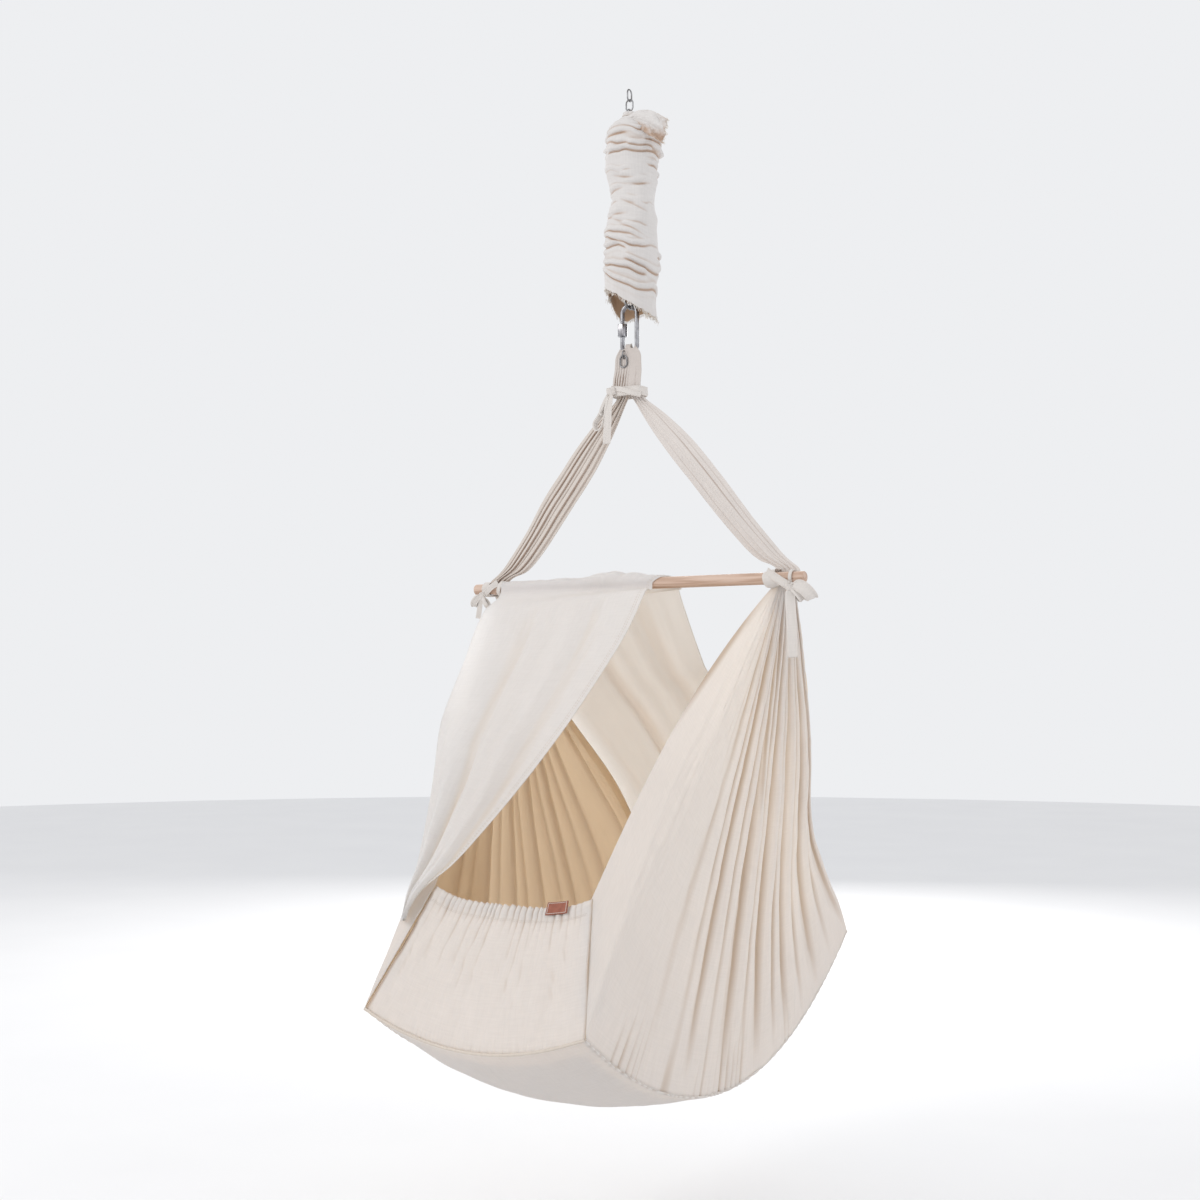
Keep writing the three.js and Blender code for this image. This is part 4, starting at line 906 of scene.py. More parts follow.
def add_veil():
    grid, folds = veil_grid(240, 188)
    piece = cloth("veil_cloth", grid, 0.9, "veil", outside=-1, fold_reach=5, fold_gain=1.6, mark=folds * 0.6,
                  both=True)
    dress(piece, "cradle", "veil_muslin", "veil")
    declare(grid, 1.2)
    return grid


# Foot flap and head end. u runs from the left edge to the right, v from the seam to the top
FLAP_GATHERS = 27


def flap_place(u, v, detail=True):
    across = 2 * u - 1
    arch = clip(1 - across * across)
    reach = mix(BASE_X, FLAP_HALF, v) - 2 * (1 + v)
    bottom = CORNER - END_SAG * arch
    top = FLAP_TOP - 18 * clip(1 - across ** 4)
    level = mix(bottom, top, v)
    ruffle = 2.4 * smooth((v - 0.55) / 0.45) * wave(7 * u) * arch
    bulge = 10 * hump(v) * arch
    lap = 0.0
    if detail:
        reach = reach + (2.2 + 2.0 * v) * smooth((u - 0.8) / 0.2) + 1.8 * smooth((u - 0.96) / 0.04)
        reach = reach - 1.6 * smooth((0.05 - u) / 0.04) * smooth((0.8 - v) / 0.2)
        stray = 4 * noise(71, u * 9, 0.3)
        tight = wave(FLAP_GATHERS * u, stray)
        gather = tight * (1.0 * smooth((v - 0.8) / 0.1) + 0.75 * smooth((v - 0.5) / 0.34))
        crinkle = wave(12 * u, 5 * noise(78, u * 7, v * 0.8))
        gather = gather + 1.3 * crinkle * smooth((v - 0.16) / 0.5) * smooth((0.95 - v) / 0.1)
        gather = gather * (0.65 + 0.45 * noise(72, u * 17, v * 3))
        drape = 5.0 * wrinkles(75, u * 6, v * 1.6) + 1.6 * wrinkles(77, u * 10 + v * 3, v * 3)
        drape = drape * smooth((0.93 - v) / 0.12) * hump(v) ** 0.7
        foot = 0.45 * wave(26 * u, 9 * noise(79, u * 9, 0.1)) * bump(v, 0.02, 0.05)
        ruffle = 0.6 * ruffle + gather * smooth(arch * 5) + drape + foot
        bulge = bulge + bump(v, 0.96, 0.028) * 1.6
        lap = 2.2 * smooth((u - 0.965) / 0.035)
        level = level + 1.3 * wave(FLAP_GATHERS * u, 1 + stray) * smooth((v - 0.9) / 0.1) * arch
    return points(across * reach, -BASE_Y - 2.5 + FLAP_LEAN * v - bulge - ruffle + lap, level)


def head_place(u, v):
    across = 1 - 2 * u
    arch = clip(1 - across * across)
    reach = mix(BASE_X, HEAD_HALF, v) + 0.8
    soft = 1.5 * wrinkles(81, u * 11, v * 3) * hump(v)
    tuck = 2.4 * smooth((np.abs(across) - 0.95) / 0.05)
    y = BASE_Y + 2.5 - HEAD_LEAN * v + 10 * hump(v) * arch + soft - tuck
    return points(across * reach, y, mix(HEAD_CORNER - END_SAG * arch, HEAD_TOP - 18 * arch, v))


def fold_with_flap(piece):
    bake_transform(piece)


def add_ends():
    u, v = shares(70, 330)
    grid = flap_place(u, v)
    # Painted shade along the flap's side seams, stronger at the left one
    flap = cloth("flap_cloth", grid, 1.8, "sling", fold_reach=6, fold_gain=2.6,
                 mark=1.3 * bump(u, 0.0, 0.011) + 0.5 * bump(u, 1.0, 0.008))
    dress(flap, None, "sling_cotton", "foot_flap")
    fold_with_flap(flap)
    declare(grid, 0.2)
    u, v = shares(10, 300)
    band = flap_place(mix(0.03, 0.97, u), mix(0.905, 0.995, v)) + (0, 3.6, 0)
    dress(cloth("flap_casing", band, 0.9, "sling", fold_gain=1.0), "flap", "sling_cotton", "flap_hem")
    core = flap_place(mix(0.04, 0.96, u), mix(0.92, 0.975, v)) + (0, 2.0, 0)
    elastic = cloth("elastic_band", core, 0.8, "elastic", fold_gain=1.0, shade_inner_face=False)
    dress(elastic, "flap", "elastic_white", "flap_elastic")
    head = head_place(*shares(30, 120))
    end = cloth("head_end_cloth", head, 1.8, "sling", fold_gain=2.0)
    dress(end, "cradle", "sling_cotton", "head_panel")
    declare(head, 0.13)


# Base and mattress
PAD_X, PAD_Y = 163.0, 373.0
TUFTS = [(a, b) for a in (0.27, 0.5, 0.73) for b in (0.18, 0.34, 0.5, 0.66, 0.82)]


def add_base():
    along = np.linspace(-BASE_Y, BASE_Y, 420)
    for word, side in (("left", -1), ("right", 1)):
        puckers = 0.35 * wave(along / 15.4, 9 * noise(111, along / 40, 0.2))
        path = points(side * (178.3 + puckers), along, side_seam(along) - 0.6 - puckers)
        # Painted shade along the seam roll, varying with its puckers
        roll = swept(f"base_seam_{word}", path, round_section(1.9, 12), "sling", (0, 0, 1),
                     crease=(0.25 - 0.5 * puckers)[:, None])
        dress(roll, "cradle", "sling_cotton")
    u, v = shares(260, 130)
    x, y = mix(-177.2, 177.2, u), mix(-BASE_Y, BASE_Y, v)
    edge = np.minimum(u, 1 - u)
    pull = 1.1 * wave(62 * v, 3 * noise(91, v * 20, 0.4)) * bump(edge, 0, 0.05)
    soft = 1.6 * wrinkles(95, u * 5, v * 9) * smooth(edge / 0.05) * smooth(np.minimum(v, 1 - v) / 0.03)
    crease = -1.4 * bump(u, 0.5, 0.006) * smooth((0.16 - v) / 0.1)
    grid = points(x, y, base_level(x, y) + pull + soft + crease)
    base = cloth("base_sling_cloth", grid, 1.9, "sling", outside=-1, fold_gain=1.2)
    dress(base, "cradle", "sling_cotton", "base_cloth")
    declare(grid, 0.88)


def add_mattress():
    """A quilted pad that lies on the sagging base, lower towards its edges."""
    u, v = shares(150, 80)
    x, y = mix(-PAD_X, PAD_X, u), mix(-PAD_Y, PAD_Y, v)
    low = base_level(x, y) + 3.0
    edge = np.minimum(np.minimum(u, 1 - u) * 2 * PAD_X, np.minimum(v, 1 - v) * 2 * PAD_Y)
    crown = smooth(edge / 34 + 0.02)
    tufts = sum(bump(u, a, 0.035) * bump(v, b, 0.016) for a, b in TUFTS)
    top = low + 2 + 31 * crown ** 0.6 - 5 * tufts + 0.8 * wrinkles(101, u * 9, v * 18) * crown
    upper, lower = points(x, y, top), points(x, y, low)
    lower = mix(lower, upper, (1 - crown)[..., None] * 0.15)
    corners = np.vstack([upper.reshape(-1, 3), lower.reshape(-1, 3)])
    # Painted shade in the tufts' dimples
    pad = add_mesh("mattress_pad", corners, wall_faces(*u.shape), "mattress", corners[:, :2] * MM,
                   crease=np.r_[clip(tufts).ravel(), np.zeros(u.size)])
    dress(pad, "cradle", "mattress_cotton", "mattress")


# Chain, quick links and their nuts
CHAIN_WIRE, CHAIN_WIDTH, CHAIN_HEIGHT, LINK_PITCH = 2.4, 12.0, 18.4, 15.7
LINK_GAP = 0.3
LOWER_ROD = 7.0


def stadium(top, width, height, steps=20, leg=8):
    """A ring's centre line in the XZ plane, hanging down from its top wire."""
    radius = width / 2
    high, low = top - radius, top - height + radius
    arc = np.linspace(0, math.pi, steps)
    down = np.linspace(0, 1, leg + 2)[1:-1]
    return np.vstack([
        points(radius * np.cos(arc), 0, high + radius * np.sin(arc)), points(-radius, 0, mix(high, low, down)),
        points(radius * np.cos(arc + math.pi), 0, low + radius * np.sin(arc + math.pi)),
        points(radius, 0, mix(low, high, down))])


def turned(places, axis, angle, shift=(0, 0, 0)):
    turn = np.array(Matrix.Rotation(angle, 3, axis))
    return np.asarray(places) @ turn.T + np.asarray(shift, float)


def add_metal():
    half_wire = CHAIN_WIRE / 2
    ring = stadium(half_wire, CHAIN_WIDTH, CHAIN_HEIGHT)
    links = [(f"chain_{k + 1}", f"chain_link_{k + 1}", body,
              turned(ring, "Z", 0.0 if k == 1 else math.pi / 2, (0, 0, -k * LINK_PITCH)))
             for k, body in enumerate(("hang_link", "swing_link", "swivel_link"))]
    bend, rise, lean = 13.0, math.radians(28), math.radians(63)
    seat = np.array([-bend * math.sin(rise), 0, LINK_BEND + bend * (1 - math.cos(rise))])
    start = LOWER_ROD / 2 + LINK_GAP + half_wire
    first = turned(turned(ring + (0, 0, start), "Z", math.pi / 2), "X", -lean, seat)
    reach = 16.0 - start - LINK_GAP - half_wire
    second = ring + seat + (0, -reach * math.sin(lean), -reach * math.cos(lean) - half_wire)
    links += [("loose_chain_1", "chain_tail_1", "cradle", first),
              ("loose_chain_2", "chain_tail_2", "cradle", second)]
    for name, node, body, places in links:
        link = swept(name, places, round_section(half_wire, 16), "chain", (0.3, 0.9, 0.1), True)
        dress(link, body, "chain_steel", node)
    add_quick_link("upper", -44.1, 18.0, 54.0, 6.0, 7.0, 11.0, 15.0, "spring_hanger", "upper_nut")
    add_quick_link("lower", -338.5, 26.0, 77.0, LOWER_ROD, 9.0, 15.0, 19.0, "lower_link", "lower_nut")
    add_stretching("coil_spring_wire", "coil_spring", "spring", "spring_steel")
    add_stretching("safety_chain_links", "safety_chain", "chain", "chain_steel")


def add_stretching(name, node, finish, slot):
    """A copy of a node with its triangles joined and shaded smooth."""
    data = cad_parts[node].data.copy()
    data.transform(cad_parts[node].matrix_world)
    if "custom_normal" in data.attributes:
        data.attributes.remove(data.attributes["custom_normal"])
    shell = bmesh.new()
    shell.from_mesh(data)
    bmesh.ops.remove_doubles(shell, verts=shell.verts, dist=0.002 * MM)
    for face in shell.faces:
        face.smooth = True
    shell.to_mesh(data)
    shell.free()
    data.materials.clear()
    data.materials.append(FINISHES[finish])
    piece = dress(placed(name, data), None, slot, node)
    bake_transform(piece)


def add_quick_link(word, top, width, height, rod, gap, flats, length, body, nut_body):
    ring = stadium(top, width, height, 26, 60)
    middle = top - height / 2
    on_leg = (ring[:, 0] < -width / 2 + 0.01) & (np.abs(ring[:, 2] - middle) < gap / 2)
    start = int(np.nonzero(on_leg)[0][-1]) + 1
    path = np.roll(ring, -start, 0)[:len(ring) - int(on_leg.sum())]
    near = np.minimum(np.linalg.norm(path - path[0], axis=1), np.linalg.norm(path - path[-1], axis=1))
    leg = np.abs(path[:, 0] + width / 2) < 0.01
    thread = np.where(leg & (near < length * 0.75), 0.035 * wave(path[:, 2] / 1.25), 0)
    ends = np.where(near < 0.9, mix(0.8, 1.0, smooth(near / 0.9)), 1.0)
    link = swept(f"{word}_link_rod", path, round_section(rod / 2, 28), "link", (0, 1, 0),
                 scales=(ends + thread)[:, None] * np.ones(2))
    dress(link, body, "link_steel", f"{word}_quick_link")
    angle = circle(96)
    hexagon = flats / 2 / np.cos((angle + math.pi / 6) % (math.pi / 3) - math.pi / 6)
    bore, half, face = rod / 2 + 0.3, length / 2, flats / 2 * 0.97
    rings = [(bore, 0.5 - half), (bore + 0.5, -half), (face, -half), (flats, 1.6 - half),
             (flats, half - 1.6), (face, half), (bore + 0.5, half), (bore, half - 0.5)]
    corners = []
    for limit, level in rings:
        size = np.minimum(hexagon, limit)
        corners.append(points(size * np.sin(angle) - width / 2, size * np.cos(angle), middle + level))
    index = np.arange(len(rings) * len(angle)).reshape(len(rings), -1)
    above = np.roll(index, -1, 0)
    faces = np.stack([index, above, np.roll(above, -1, 1), np.roll(index, -1, 1)], -1).reshape(-1, 4)
    corners = np.vstack(corners)
    nut = add_mesh(f"{word}_nut", corners, faces, "link", corners[:, [0, 2]] * MM)
    keep_edges_sharp(nut, 32)
    dress(nut, nut_body, "link_steel", f"{word}_link_nut")


def keep_edges_sharp(piece, degrees):
    mesh = piece.data
    limit = math.radians(degrees)
    sides = {}
    for face in mesh.polygons:
        for key in face.edge_keys:
            sides.setdefault(key, []).append(face.normal)
    for edge in mesh.edges:
        normals = sides.get(tuple(sorted(edge.vertices)), [])
        edge.use_edge_sharp = len(normals) == 2 and normals[0].angle(normals[1], 0.0) > limit


# Sleeve over the spring
SLEEVE_TOP, SLEEVE_LENGTH, SLEEVE_RADIUS, NECK_RADIUS = -36, 300, 38.0, 9.4
SLEEVE_PROFILE = np.array([
    (0, 0), (0.02, 0.0), (0.045, 0.3), (0.065, 0.62), (0.09, 0.88), (0.13, 1.06), (0.2, 1.1),
    (0.32, 1.05), (0.42, 0.9), (0.48, 0.86), (0.56, 0.97), (0.68, 1.05), (0.85, 1.1), (1, 1.06)])
LEVEL_FOLDS = [
    (0.118, 1.0), (0.145, 1.0), (0.176, 1.0), (0.212, 1.0), (0.246, 1.0), (0.285, 1.0), (0.33, 0.6), (0.4, 0.3),
    (0.49, 0.3), (0.58, 0.3), (0.665, 0.7), (0.7, 1.0), (0.742, 0.8), (0.79, 0.9), (0.84, 1.0), (0.9, 0.8)]
SLANT_FOLDS = [
    (0.36, 0.03, 4.9), (0.43, -0.035, 4.2), (0.5, 0.04, 5.3), (0.56, -0.03, 4.4), (0.62, 0.035, 5.2),
    (0.39, -0.03, 5.6), (0.47, 0.02, 3.7)]
FRINGE_COUNT = 340
FRINGE_CORNERS = ((math.pi, 26), (-0.3, 30), (0.6, 14))


def profile(table, share):
    k = np.clip(np.searchsorted(table[:, 0], share) - 1, 0, len(table) - 2)
    start, end = table[k], table[k + 1]
    return mix(start[..., 1], end[..., 1], smooth((share - start[..., 0]) / (end[..., 0] - start[..., 0])))


def sleeve_grid(rows, columns):
    """The crumpled sleeve, with soft level folds where it is bunched and slanting ones between."""
    v, u = np.meshgrid(np.linspace(0, 1, rows), np.arange(columns) / columns, indexing="ij")
    angle = TURN * u
    side, front = np.cos(angle), np.sin(angle)
    rear = bump(np.abs(angle - 2.45), 0.0, 0.62)
    length = SLEEVE_LENGTH + (23 * side + 6 * front * v ** 3) * v + 32 * rear * smooth((v - 0.6) / 0.4)

    def around(seed, pace, turn):
        return (noise(seed, v * pace + 0.9 * side, turn * front + 7)
                + noise(seed + 1, v * pace + 3, turn * side + 11)) * 0.8

    def stray(seed, turn, x=5, y=3):
        return noise(seed, turn * side + x, turn * front + y)

    soft = 3.2 * around(225, 7, 1.7) + 1.5 * around(229, 15, 2.4)
    bulge, shade_lines = np.zeros_like(v), np.zeros_like(v)
    for k, (level, size) in enumerate(LEVEL_FOLDS):
        here = level + 0.02 * stray(241 + k, 1.1) + 0.008 * stray(271 + k, 2.6)
        often = 0.62 if level < 0.3 else 0.35
        strength = smooth(often + 1.6 * stray(301 + k, 1.3, 9, 2)) * size
        wide = 1 + 0.4 * stray(331 + k, 1.5, 0, 0)
        roll = 4.4 * bump(v, here - 0.014, 0.012 * wide) + 1.2 * bump(v, here + 0.019, 0.012)
        bulge = bulge + strength * (roll - 3.2 * bump(v, here + 0.003, 0.0075))
        soft_line = 0.36 * bump(v, here + 0.006, 0.012 * wide) + 0.24 * bump(v, here + 0.002, 0.004)
        shade_lines = np.maximum(shade_lines, strength * soft_line)
    for level, slope, middle in SLANT_FOLDS:
        here = v - level - slope * (angle - middle)
        patch = bump(np.abs(angle - middle), 0.0, 0.55)
        bulge = bulge + patch * (2.6 * bump(here, -0.012, 0.013) - 2.2 * bump(here, 0.012, 0.011))
        shade_lines = np.maximum(shade_lines, 0.14 * patch * bump(here, 0.012, 0.012))
    pinch = bump(v, 0.285, 0.012) * bump(np.abs(angle - 3.5), 0.0, 0.3)
    shade_lines = np.maximum(shade_lines, pinch)
    twist = 0.6 * np.sin(7 * angle + 60 * v) * smooth((0.1 - v) / 0.05)
    ragged = 2.5 * noise(231, u * 40, 0.4) * smooth((v - 0.97) / 0.03)
    onset = smooth((v - 0.08) / 0.06)
    reach = mix(NECK_RADIUS, SLEEVE_RADIUS, profile(SLEEVE_PROFILE, v))
    radius = reach + onset * (bulge - 5 * pinch + soft) + twist
    lean = 5 * bump(v, 0.15, 0.07) + 6.5 * bump(v, 0.52, 0.27)
    grid = points(radius * side + lean, radius * front, SLEEVE_TOP - length * v - ragged)
    # Painted shade: dark lines under the level and slanting folds and at the pinch, tan towards the top, and a little
    # towards the hem
    shade = 0.3 * smooth((0.34 - v) / 0.2) * smooth(0.5 + around(351, 9, 1.5)) + 0.12 * smooth((v - 0.62) / 0.2)
    return grid, clip(onset * (0.85 * shade_lines + shade))


def sleeve_end_grid(rows, columns):
    """The sleeve's loose corner, which flops over beside the neck."""
    s, t = shares(rows, columns)
    spine = through([(4, -12, -52), (22, -20, -54), (42, -25, -63), (60, -25, -74), (76, -21, -86)], columns)
    half = mix(7.0, 18.0, smooth(np.linspace(0, 1, columns) * 1.4))
    bend = 3.2 * wave(1.6 * t + 0.35 * s) * (0.4 + s) + 2.2 * wrinkles(241, s * 6, t * 5) * smooth(s * 3)
    grid = spine[None] + np.array([0.3, -0.16, 0.94]) * (half[None] * (2 * t - 1))[..., None]
    grid = grid + np.array([0.55, -0.78, -0.3]) * (bend + 5 * (1 - (2 * t - 1) ** 2) * s)[..., None]
    grid[..., 0] += 2.5 * noise(243, t * 9, 0.3) * s ** 4
    # Painted shade on the flop's lower side and towards its loose end
    return grid, 0.9 * smooth((0.5 - t) / 0.4) + 0.35 * smooth((s - 0.75) / 0.25)


def add_sleeve():
    grid, shade_lines = sleeve_grid(230, 190)
    tube = cloth("sleeve_cloth", grid, 1.3, "sleeve", outside=-1, closed=True, fold_axis=0, fold_gain=2.2,
                 mark=shade_lines)
    dress(tube, "spring_hanger", "sleeve_cotton", "spring_sleeve")
    flop, under = sleeve_end_grid(46, 70)
    wing = cloth("sleeve_end", flop, 1.2, "sleeve", fold_gain=2.0, mark=under)
    dress(wing, "spring_hanger", "sleeve_cotton")
    sheet_area(flop) / 0.07 * CUT_EXTRA
    add_fringe(grid[-1], flop[:, -1])
    wrap = np.linspace(0, TURN * 3.4, 130)
    turns = points(10.8 * np.cos(wrap), 10.8 * np.sin(wrap), -39.5 - 1.5 * wrap / 3)
    end = through([turns[-1], (8, -14, -52), (20, -12, -58), (28, -8, -65), (34, -6, -60), (38, -5, -53)], 40)
    cord = swept("neck_cord", np.vstack([turns, end[1:]]), round_section(1.1, 10), "ties", (0, 0, 1))
    dress(cord, "spring_hanger", "sleeve_cotton")


def add_fringe(hem, edge):
    """Frayed threads round the sleeve's hem, thicker at its corners, and along its loose corner."""
    rng = np.random.default_rng(5)
    roots = hem[rng.integers(0, len(hem), FRINGE_COUNT)]
    places = roots + rng.uniform(-0.5, 0.5, (FRINGE_COUNT, 3))
    aims = np.column_stack([0.25 * roots[:, :2] / SLEEVE_RADIUS, -np.ones(FRINGE_COUNT)])
    corner_places, corner_aims = [], []
    for angle, amount in FRINGE_CORNERS:
        tip = hem[int(round((angle / TURN) % 1 * len(hem))) % len(hem)]
        for _ in range(amount):
            corner_places.append(tip + rng.normal(0, 2.2, 3) + (0, 0, -4))
            corner_aims.append((0.3 * np.sign(tip[0]) + rng.normal(0, 0.3), rng.normal(0, 0.3), -1))
    tips = edge[rng.integers(0, len(edge), 80)] + rng.uniform(-0.6, 0.6, (80, 3))
    tip_aims = np.column_stack([np.ones(80), 0.2 * rng.normal(size=80), -0.9 * np.ones(80)])
    fringe = row("sleeve_fringe", np.vstack([places + aims * 1.6, corner_places, tips]),
                 np.vstack([aims, corner_aims, tip_aims]), "thread", 0.32, 8.5, 0.45, 0.35, 3)
    dress(fringe, "spring_hanger", "sleeve_cotton")


# Straps and loop. Each pleat line is a share across the strap, with how far its edge laps over the next
STRAP_DROP = 296
STRAP_ROUTE = [
    (0.052, 0.002), (0.055, 0.032), (0.13, 0.12), (0.26, 0.27), (0.4, 0.43),
    (0.55, 0.59), (0.71, 0.75), (0.87, 0.885), (0.999, 0.955), (1, 1.02)]
LEFT_PLEATS = [(0.1, 0.7), (0.24, 1.0), (0.42, 1.0), (0.53, 0.7), (0.7, 1.0), (0.87, 0.8)]
RIGHT_PLEATS = [(0.2, 0.45), (0.42, 0.35), (0.66, 0.6), (0.82, 0.5)]
LOOP_PLEATS = (0.06, 0.15, 0.25, 0.35, 0.45, 0.55, 0.8)


def strap_grid(side, widest, pleats, depth, seed):
    u, v = shares(210, 120)
    curve = smooth_curve([(side * GATHER_X * out, GATHER_Y * float(smooth((down - 0.55) / 0.38)),
                           APEX - STRAP_DROP * down) for out, down in STRAP_ROUTE])
    tangent = curve(v + 0.004) - curve(v - 0.004)
    tangent /= np.linalg.norm(tangent, axis=-1, keepdims=True)
    near = np.minimum(v - 0.12, 0.86 - v)
    swell = np.minimum(smooth((v - 0.1) / 0.32), smooth((1.02 - v) / 0.5))
    centre = curve(v) + (side + 1) / 2 * np.array([12.0, 0, 7.5]) * bump(v, 0.5, 0.26)[..., None]
    across = mix(points(1, 0, 0), points(-tangent[..., 2], 0, tangent[..., 0]), smooth(near / 0.2)[..., None])
    across /= np.linalg.norm(across, axis=-1, keepdims=True)
    width = mix(mix(19.0, 34.0, smooth((v - 0.4) / 0.6)), widest, swell)
    pleat, mark = np.zeros_like(u), np.zeros_like(u)
    for k, (middle, size) in enumerate(pleats):
        pleat += depth * size * (smooth((u - middle) / 0.045) - smooth((u - middle) / 0.2))
        fade = 0.75 + 0.4 * noise(seed + 9 + k, v * 4, 0.2)
        # Painted shade in the gap beside each pleat line
        mark = np.maximum(mark, size * fade * bump(u, middle + 0.018, 0.024))
    cup = -4.5 * (1 - (2 * u - 1) ** 2) * mix(0.6, 1.0, swell)
    soft = 0.9 * wrinkles(seed + 31, u * 4, v * 9) * swell
    sway = 0.05 * width * noise(seed + 5, v * 3.5, u * 1.6) * hump(u) * swell
    bunch = 1.2 * wave(4.5 * u, seed) * (1 - swell)
    grid = centre + across * ((u - 0.5) * width + sway)[..., None]
    grid[..., 1] += cup + pleat + soft + bunch
    return grid, clip(mark)


def add_straps():
    for word, side, widest, pleats, depth, seed in (("left", -1, 52.0, LEFT_PLEATS, 4.0, 301),
                                                    ("right", 1, 44.0, RIGHT_PLEATS, 2.6, 331)):
        grid, mark = strap_grid(side, widest, pleats, depth, seed)
        piece = cloth(f"strap_cloth_{word}", grid, 1.3, f"strap_{word}", outside=-1, fold_gain=0.8, mark=mark,
                      both=True)
        dress(piece, "cradle", "sling_cotton", f"strap_{word}")
        declare(grid, 0.38)


def add_loop():
    """The sling's loop over the quick link: v runs over it from front to back, u across it."""
    u, v = shares(170, 110)
    seat = (LOWER_ROD / 2 + 0.5 + 0.3 + 1.3) / math.cos(math.pi / 12)
    sign = np.where(v < 0.5, -1.0, 1.0)
    down = np.abs(v - 0.5) * 2
    angle = math.pi / 2 * clip(down / 0.3)
    share = clip((down - 0.3) / 0.7)
    bent = down < 0.3
    opening = smooth((down - 0.42) / 0.34)
    early = smooth((down - 0.29) / 0.2)
    behind = np.where(v < 0.5, 1.0, mix(0.85, 0.5, u))
    x = behind * mix(-mix(4.5, 22.0, early) - 3 * opening, mix(4.5, 23.5, early) + 1.5 * opening, u)
    y = np.where(bent, sign * seat * np.sin(angle), sign * mix(seat, 10.0, smooth((share - 0.4) / 0.6)))
    z = np.where(bent, LINK_BEND + seat * np.cos(angle), mix(LINK_BEND, APEX - 1.5, share))
    bend_rise = 13 - np.sqrt(np.maximum(0, 169 - x ** 2))
    z = z + (bend_rise * 0.8 + 9.0 + 4.0 * early * u) * smooth((0.62 - down) / 0.3)
    pleat, mark = np.zeros_like(u), np.zeros_like(u)
    for k, middle in enumerate(LOOP_PLEATS):
        size = 1.0 if middle < 0.5 else 0.45
        pleat += 2.2 * size * (smooth((u - middle) / 0.03) - smooth((u - middle) / 0.11))
        fade = 0.8 + 0.35 * noise(361 + k, v * 9, 0.3)
        # Painted shade beside each pleat, where the loop opens out
        mark = np.maximum(mark, size * fade * bump(u, middle + 0.01, 0.016) * opening)
    soft = 0.8 * wrinkles(371, u * 5, v * 8) * opening
    cup = 3.4 * (1 - (2 * u - 1) ** 2) * opening
    grid = points(x, y + sign * (cup - pleat * mix(0.3, 1.0, opening) + soft), z)
    loop = cloth("sling_loop_cloth", grid, 1.5, "loop", fold_gain=1.0, mark=mark)
    dress(loop, "cradle", "sling_cotton", "sling_loop")
    declare(grid, 0.14)


# Bar, apex tie and bar ties
UP = (0, 0, 1)
BAR_ENDS = [(0.0, 0.78), (0.6, 0.88), (1.3, 0.96), (2.1, 1.0)]
BOW_PINCH = [(0.0, 0.45, 0.12), (1.0, 0.45, 0.12)]
# Each band is its place along the bar, its width and its tilt. Each ribbon is its places, its width and its aim,
# and the tail is how far it hangs and its width
BAR_TIES = {
    "right": {
        "side": 1, "bands": [(242, 22, -3), (275, 6, 0)], "centre": (277, -14.5, -785), "knot_size": 6.5,
        "cross": ([(238, -9.5, -762), (250, -12.5, -769), (263, -13.5, -777), (275, -13.5, -784)], 13),
        "bow": ([(280, -16, -786), (291, -21, -784), (303, -23, -789), (311, -20, -798), (311, -14, -804),
                 (302, -10, -800), (290, -11, -791)], 19, (-0.35, 0.25, 1)),
        "second": ([(279, -14, -786), (286, -17, -788), (294, -18, -795), (299, -15, -803), (295, -11, -804),
                    (287, -11, -795)], 15, (-0.2, 0.3, 1)),
        "tail": (102, 16)},
    "left": {
        "side": -1, "bands": [(242, 8, 3), (269, 14, 0)], "centre": (-272, -14.5, -781), "knot_size": 5.0,
        "cross": ([(-244, -9.5, -762), (-254, -12.5, -768), (-264, -13.5, -776), (-272, -13.5, -781)], 10),
        "bow": ([(-273, -15, -781), (-279, -19, -786), (-284, -21, -794), (-287, -17, -799), (-283, -13, -795),
                 (-277, -12, -786)], 12, (0.25, 1, 0.3)),
        "second": ([(-271, -15, -782), (-266, -19, -790), (-261, -19, -798), (-259, -15, -801),
                    (-263, -12, -794)], 9, (1, 0, 0.4)),
        "tail": (38, 10.5)},
}


def add_bar():
    """The spreader bar, with a small round at each end."""
    tips = [(reach, size) for reach, size in BAR_ENDS]
    middle = np.linspace(-1, 1, 120)[1:-1] * BAR_HALF
    x = np.r_[[tip - BAR_HALF for tip, _ in tips], middle, [BAR_HALF - tip for tip, _ in tips[::-1]]]
    sizes = np.r_[[size for _, size in tips], np.ones(len(middle)), [size for _, size in tips[::-1]]]
    sizes = sizes * (1 + 0.006 * noise(401, np.linspace(0, 12, len(sizes)), 0.3))
    bar = swept("spreader_bar_wood", points(x, 0, BAR), round_section(BAR_RADIUS, 56), "wood", UP,
                scales=sizes[:, None] * np.ones(2))
    keep_edges_sharp(bar, 50)
    dress(bar, "cradle", "bar_wood", "spreader_bar")
    for word, tie in BAR_TIES.items():
        add_bar_tie(word, **tie)


